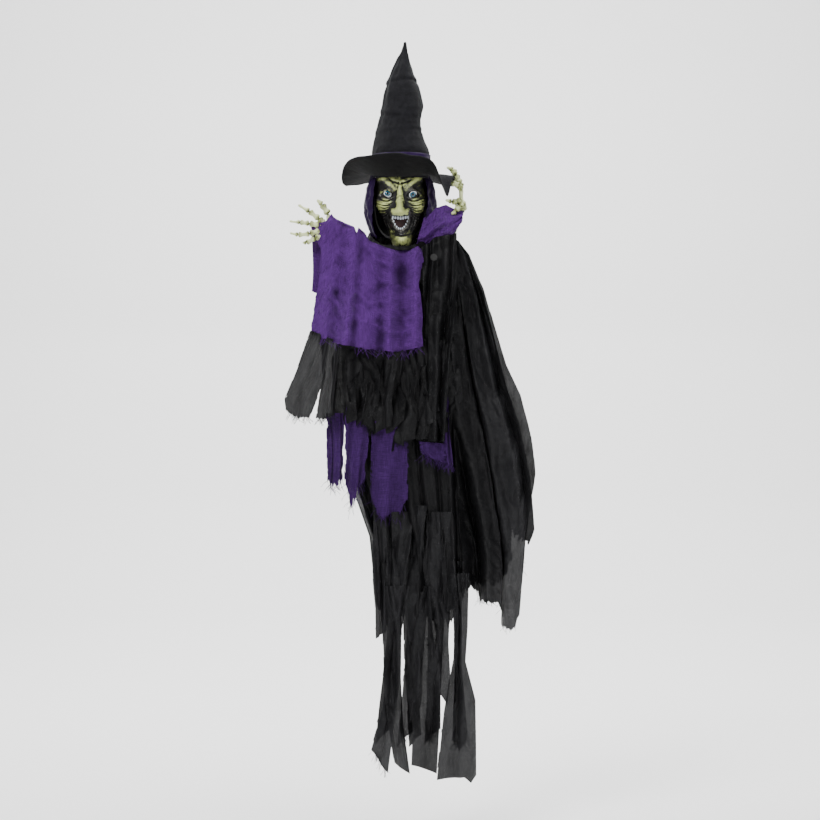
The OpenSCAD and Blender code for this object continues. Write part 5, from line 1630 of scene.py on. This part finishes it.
def make_cape(settings):
    """The front band, the wide thin side, and the back with its turned edge."""
    made, size, _ = rag("cape_front_band", 260, 110, *CAPE_FRONT, settings, 5, top=CAPE_FRONT_TOP, wave=8.0,
                        count=1.6, crush=11.0, tear=(0.0, 0.0, 7.0, 2.0), thin=0.3)
    black(made, size, "cape_front", ("shoulder_bar",))

    rows, cols = 420, 190
    across, _ = np.meshgrid(np.linspace(0, 1, cols), np.linspace(0, 1, rows))
    # Towards its outer edge the side is thinner: more see-through, and painted lighter for the light that
    # shines through it.
    side = rag("cape_side_sheet", rows, cols, CAPE_SIDE_INNER, CAPE_EDGE + [(206, -600)], cape_depth,
               settings, 8, foot=CAPE_SIDE_FOOT, wave=13.0, count=2.6, crush=13.0, twist=0.15,
               tear=(0.012, 0.008, 9.0, 2.0), thin=0.35 + 1.0 * smooth_step(0.35, 0.8, across))
    black(side[0], side[1], "cape_side", ("shoulder_bar",))
    fringe_of("cape_threads", "torso", "black_cloth", "black", settings, [side], 0.01)

    back = rag("cape_back", 400, 240, *CAPE_BACK, settings, 9, foot=CAPE_BACK_FOOT,
               wave=3.2, count=6.0, crush=3.4, tear=(0.03, 0.012, 9.0, 2.0))
    turned = wrap("cape_wrap", 380, 60, CAPE_EDGE + [(210, -494)], CAPE_TURN, -116, -46, settings, 6)
    black(*several("cape_back_sheet", [back, turned]), "cape_back", ("shoulder_bar",))


# ---------------------------------------------------------------- frame finishes
PARTS = {
    "zinc": ("hanger_bracket", "motor_plate", "battery_contacts", "motor_shaft"),
    "steel": ("bracket_screws", "case_screws", "neck_shaft", "button_spring"),
    "case": ("chest_front", "chest_back", "battery_door", "power_switch", "sound_sensor"),
    "white": ("neck_bush", "head_gear", "drive_pinion"),
    "rod": ("shoulder_bar", "left_arm_rod", "left_rod_clip", "right_arm_rod", "right_rod_clip"),
    "shell": ("rear_head_shell", "neck_plate", "led_holder"),
    "motor": ("motor",),
    "cone": ("speaker",),
    "circuit": ("circuit_board",),
    "button": ("push_button",),
    "light": ("eye_leds",),
    "mouth": ("mouth_insert",),
    "stud": ("cape_stud",),
}


def finish_frame():
    """Gives each frame piece that shows through its own material."""
    looks = {node: look for look, nodes in PARTS.items() for node in nodes}
    low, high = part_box("battery_cells")
    for name, node in frame["nodes"].items():
        if name in looks:
            look = finish(looks[name])
        elif name == "battery_cells":
            look = cell_jacket("Cell jacket", low.z, high.z)
        elif name in ("left_eye", "right_eye"):
            near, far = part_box(name)
            middle = (near + far) / 2
            aim = (0.0005 if name == "left_eye" else 0.0002, 0.0004 if name == "left_eye" else -0.0015)
            look = lit_eye(f"Eye {name[:-4]}", tuple(bpy.context.scene.witch_face.iris),
                           (middle.x + aim[0], middle.z + aim[1]))
        else:
            look = finish("case")
        for k in range(len(node.data.materials)):
            node.data.materials[k] = look


# ---------------------------------------------------------------- stage
def make_stage():
    """A pale floor that curves up into a backdrop, soft lamps, and the camera."""
    along_floor = [(-4.5, -0.97), (2.0, -0.97), (2.9, -0.9), (3.5, -0.6), (3.85, 0.0), (3.95, 1.0),
                   (4.0, 4.0)]
    path = np.array(along_floor)
    t = np.linspace(0, len(path) - 1, 80)
    y, z = (np.interp(t, range(len(path)), path[:, k]) for k in (0, 1))
    x = np.linspace(-6, 6, 5)
    grid = np.stack([np.broadcast_to(x, (80, 5)), np.broadcast_to(y[:, None], (80, 5)),
                     np.broadcast_to(z[:, None], (80, 5))], -1) * 1000
    floor = surface("backdrop", grid)
    floor.data.materials.append(painted_wall("Pale paint", (0.86, 0.86, 0.86)))
    for name, place, size, power, aim in (("key_lamp", (-1.3, -2.3, 1.7), 0.9, 88.0, (0, -0.1, -0.2)),
                                          ("fill_lamp", (2.0, -2.6, 0.3), 1.6, 26.0, (0, -0.1, -0.3)),
                                          ("top_lamp", (0.5, -0.6, 2.2), 1.2, 40.0, (0, -0.1, -0.3)),
                                          ("wall_lamp", (0.0, 1.4, 2.8), 3.5, 260.0, (0, 3.8, 0.0)),
                                          ("floor_lamp", (0.0, 1.5, 1.4), 3.0, 70.0, (0, 1.6, -1.0))):
        data = bpy.data.lights.new(name, "AREA")
        data.size = size
        data.energy = power
        lamp = bpy.data.objects.new(name, data)
        lamp.location = place
        lamp.rotation_euler = (Vector(aim) - Vector(place)).to_track_quat("-Z", "Y").to_euler()
        bpy.context.scene.collection.objects.link(lamp)
    world = bpy.data.worlds.new("Soft room")
    world.use_nodes = True
    world.node_tree.nodes["Background"].inputs[0].default_value = (1.0, 1.0, 1.0, 1.0)
    world.node_tree.nodes["Background"].inputs[1].default_value = 0.42
    bpy.context.scene.world = world
    lens = bpy.data.cameras.new("camera")
    lens.lens = 85
    lens.clip_end = 50
    camera = bpy.data.objects.new("camera", lens)
    camera.location = [c * MM for c in SEEN_FROM]
    camera.rotation_euler = (math.pi / 2, 0, 0)
    bpy.context.scene.collection.objects.link(camera)
    bpy.context.scene.camera = camera


# ---------------------------------------------------------------- tools
class WITCH_OT_hat(bpy.types.Operator):
    """Make the tall felt hat, its tipped brim and its satin band"""
    bl_idname = "witch.hat"
    bl_label = "Hat"

    def execute(self, context):
        make_hat(context.scene.witch_hat)
        return {"FINISHED"}


class WITCH_OT_face(bpy.types.Operator):
    """Model and paint the wrinkled mask, with its teeth"""
    bl_idname = "witch.face"
    bl_label = "Face"

    def execute(self, context):
        make_face(context.scene.witch_face)
        return {"FINISHED"}


class WITCH_OT_hood(bpy.types.Operator):
    """Make the satin hood and the gathered collar"""
    bl_idname = "witch.hood"
    bl_label = "Hood and collar"

    def execute(self, context):
        make_hood()
        return {"FINISHED"}


class WITCH_OT_hands(bpy.types.Operator):
    """Make both bony hands"""
    bl_idname = "witch.hands"
    bl_label = "Hands"

    def execute(self, context):
        make_hands(context.scene.witch_hands)
        return {"FINISHED"}


class WITCH_OT_shawl(bpy.types.Operator):
    """Drape the gauze shawl over the chest and the left arm, and wrap the right sleeve"""
    bl_idname = "witch.shawl"
    bl_label = "Shawl and sleeve"

    def execute(self, context):
        make_shawl(context.scene.witch_cloth)
        make_right_sleeve(context.scene.witch_cloth)
        return {"FINISHED"}


class WITCH_OT_rags(bpy.types.Operator):
    """Hang the sleeve rags, the gathered waist rags and the purple strips"""
    bl_idname = "witch.rags"
    bl_label = "Rags"

    def execute(self, context):
        make_rags(context.scene.witch_cloth)
        return {"FINISHED"}


class WITCH_OT_robe(bpy.types.Operator):
    """Hang the bodice, the robe's front and back, and its long shreds"""
    bl_idname = "witch.robe"
    bl_label = "Robe"

    def execute(self, context):
        make_robe(context.scene.witch_cloth)
        return {"FINISHED"}


class WITCH_OT_cape(bpy.types.Operator):
    """Hang the cape's front band, side and back"""
    bl_idname = "witch.cape"
    bl_label = "Cape"

    def execute(self, context):
        make_cape(context.scene.witch_cloth)
        return {"FINISHED"}


class WITCH_OT_frame(bpy.types.Operator):
    """Finish the mechanism, the arms, the eyes and the other hard parts"""
    bl_idname = "witch.frame"
    bl_label = "Hard parts"

    def execute(self, context):
        finish_frame()
        return {"FINISHED"}


class WITCH_OT_stage(bpy.types.Operator):
    """Set up the floor, the lamps and the camera"""
    bl_idname = "witch.stage"
    bl_label = "Stage"

    def execute(self, context):
        make_stage()
        return {"FINISHED"}


TOOLS = (WITCH_OT_stage, WITCH_OT_frame, WITCH_OT_hat, WITCH_OT_face, WITCH_OT_hood, WITCH_OT_hands,
         WITCH_OT_shawl, WITCH_OT_rags, WITCH_OT_robe, WITCH_OT_cape)
SETTINGS = {"witch_hat": HatSettings, "witch_face": FaceSettings, "witch_hands": HandSettings,
            "witch_cloth": ClothSettings}


class WITCH_PT_panel(bpy.types.Panel):
    """The pieces of the witch, with their settings"""
    bl_label = "Hanging witch"
    bl_idname = "WITCH_PT_panel"
    bl_space_type = "VIEW_3D"
    bl_region_type = "UI"
    bl_category = "Witch"

    def draw(self, context):
        for tool in TOOLS:
            self.layout.operator(tool.bl_idname)
        for name, kind in SETTINGS.items():
            box = self.layout.box()
            for field in kind.__annotations__:
                box.prop(getattr(context.scene, name), field)


def register():
    for kind in (*SETTINGS.values(), *TOOLS, WITCH_PT_panel):
        bpy.utils.register_class(kind)
    for name, kind in SETTINGS.items():
        setattr(bpy.types.Scene, name, PointerProperty(type=kind))


def unregister():
    for name in SETTINGS:
        delattr(bpy.types.Scene, name)
    for kind in (WITCH_PT_panel, *reversed(TOOLS), *reversed(tuple(SETTINGS.values()))):
        bpy.utils.unregister_class(kind)


def main():
    """Runs every tool in order."""
    register()
    for tool in TOOLS:
        family, name = tool.bl_idname.split(".")
        getattr(getattr(bpy.ops, family), name)()


if __name__ == "__main__":
    main()
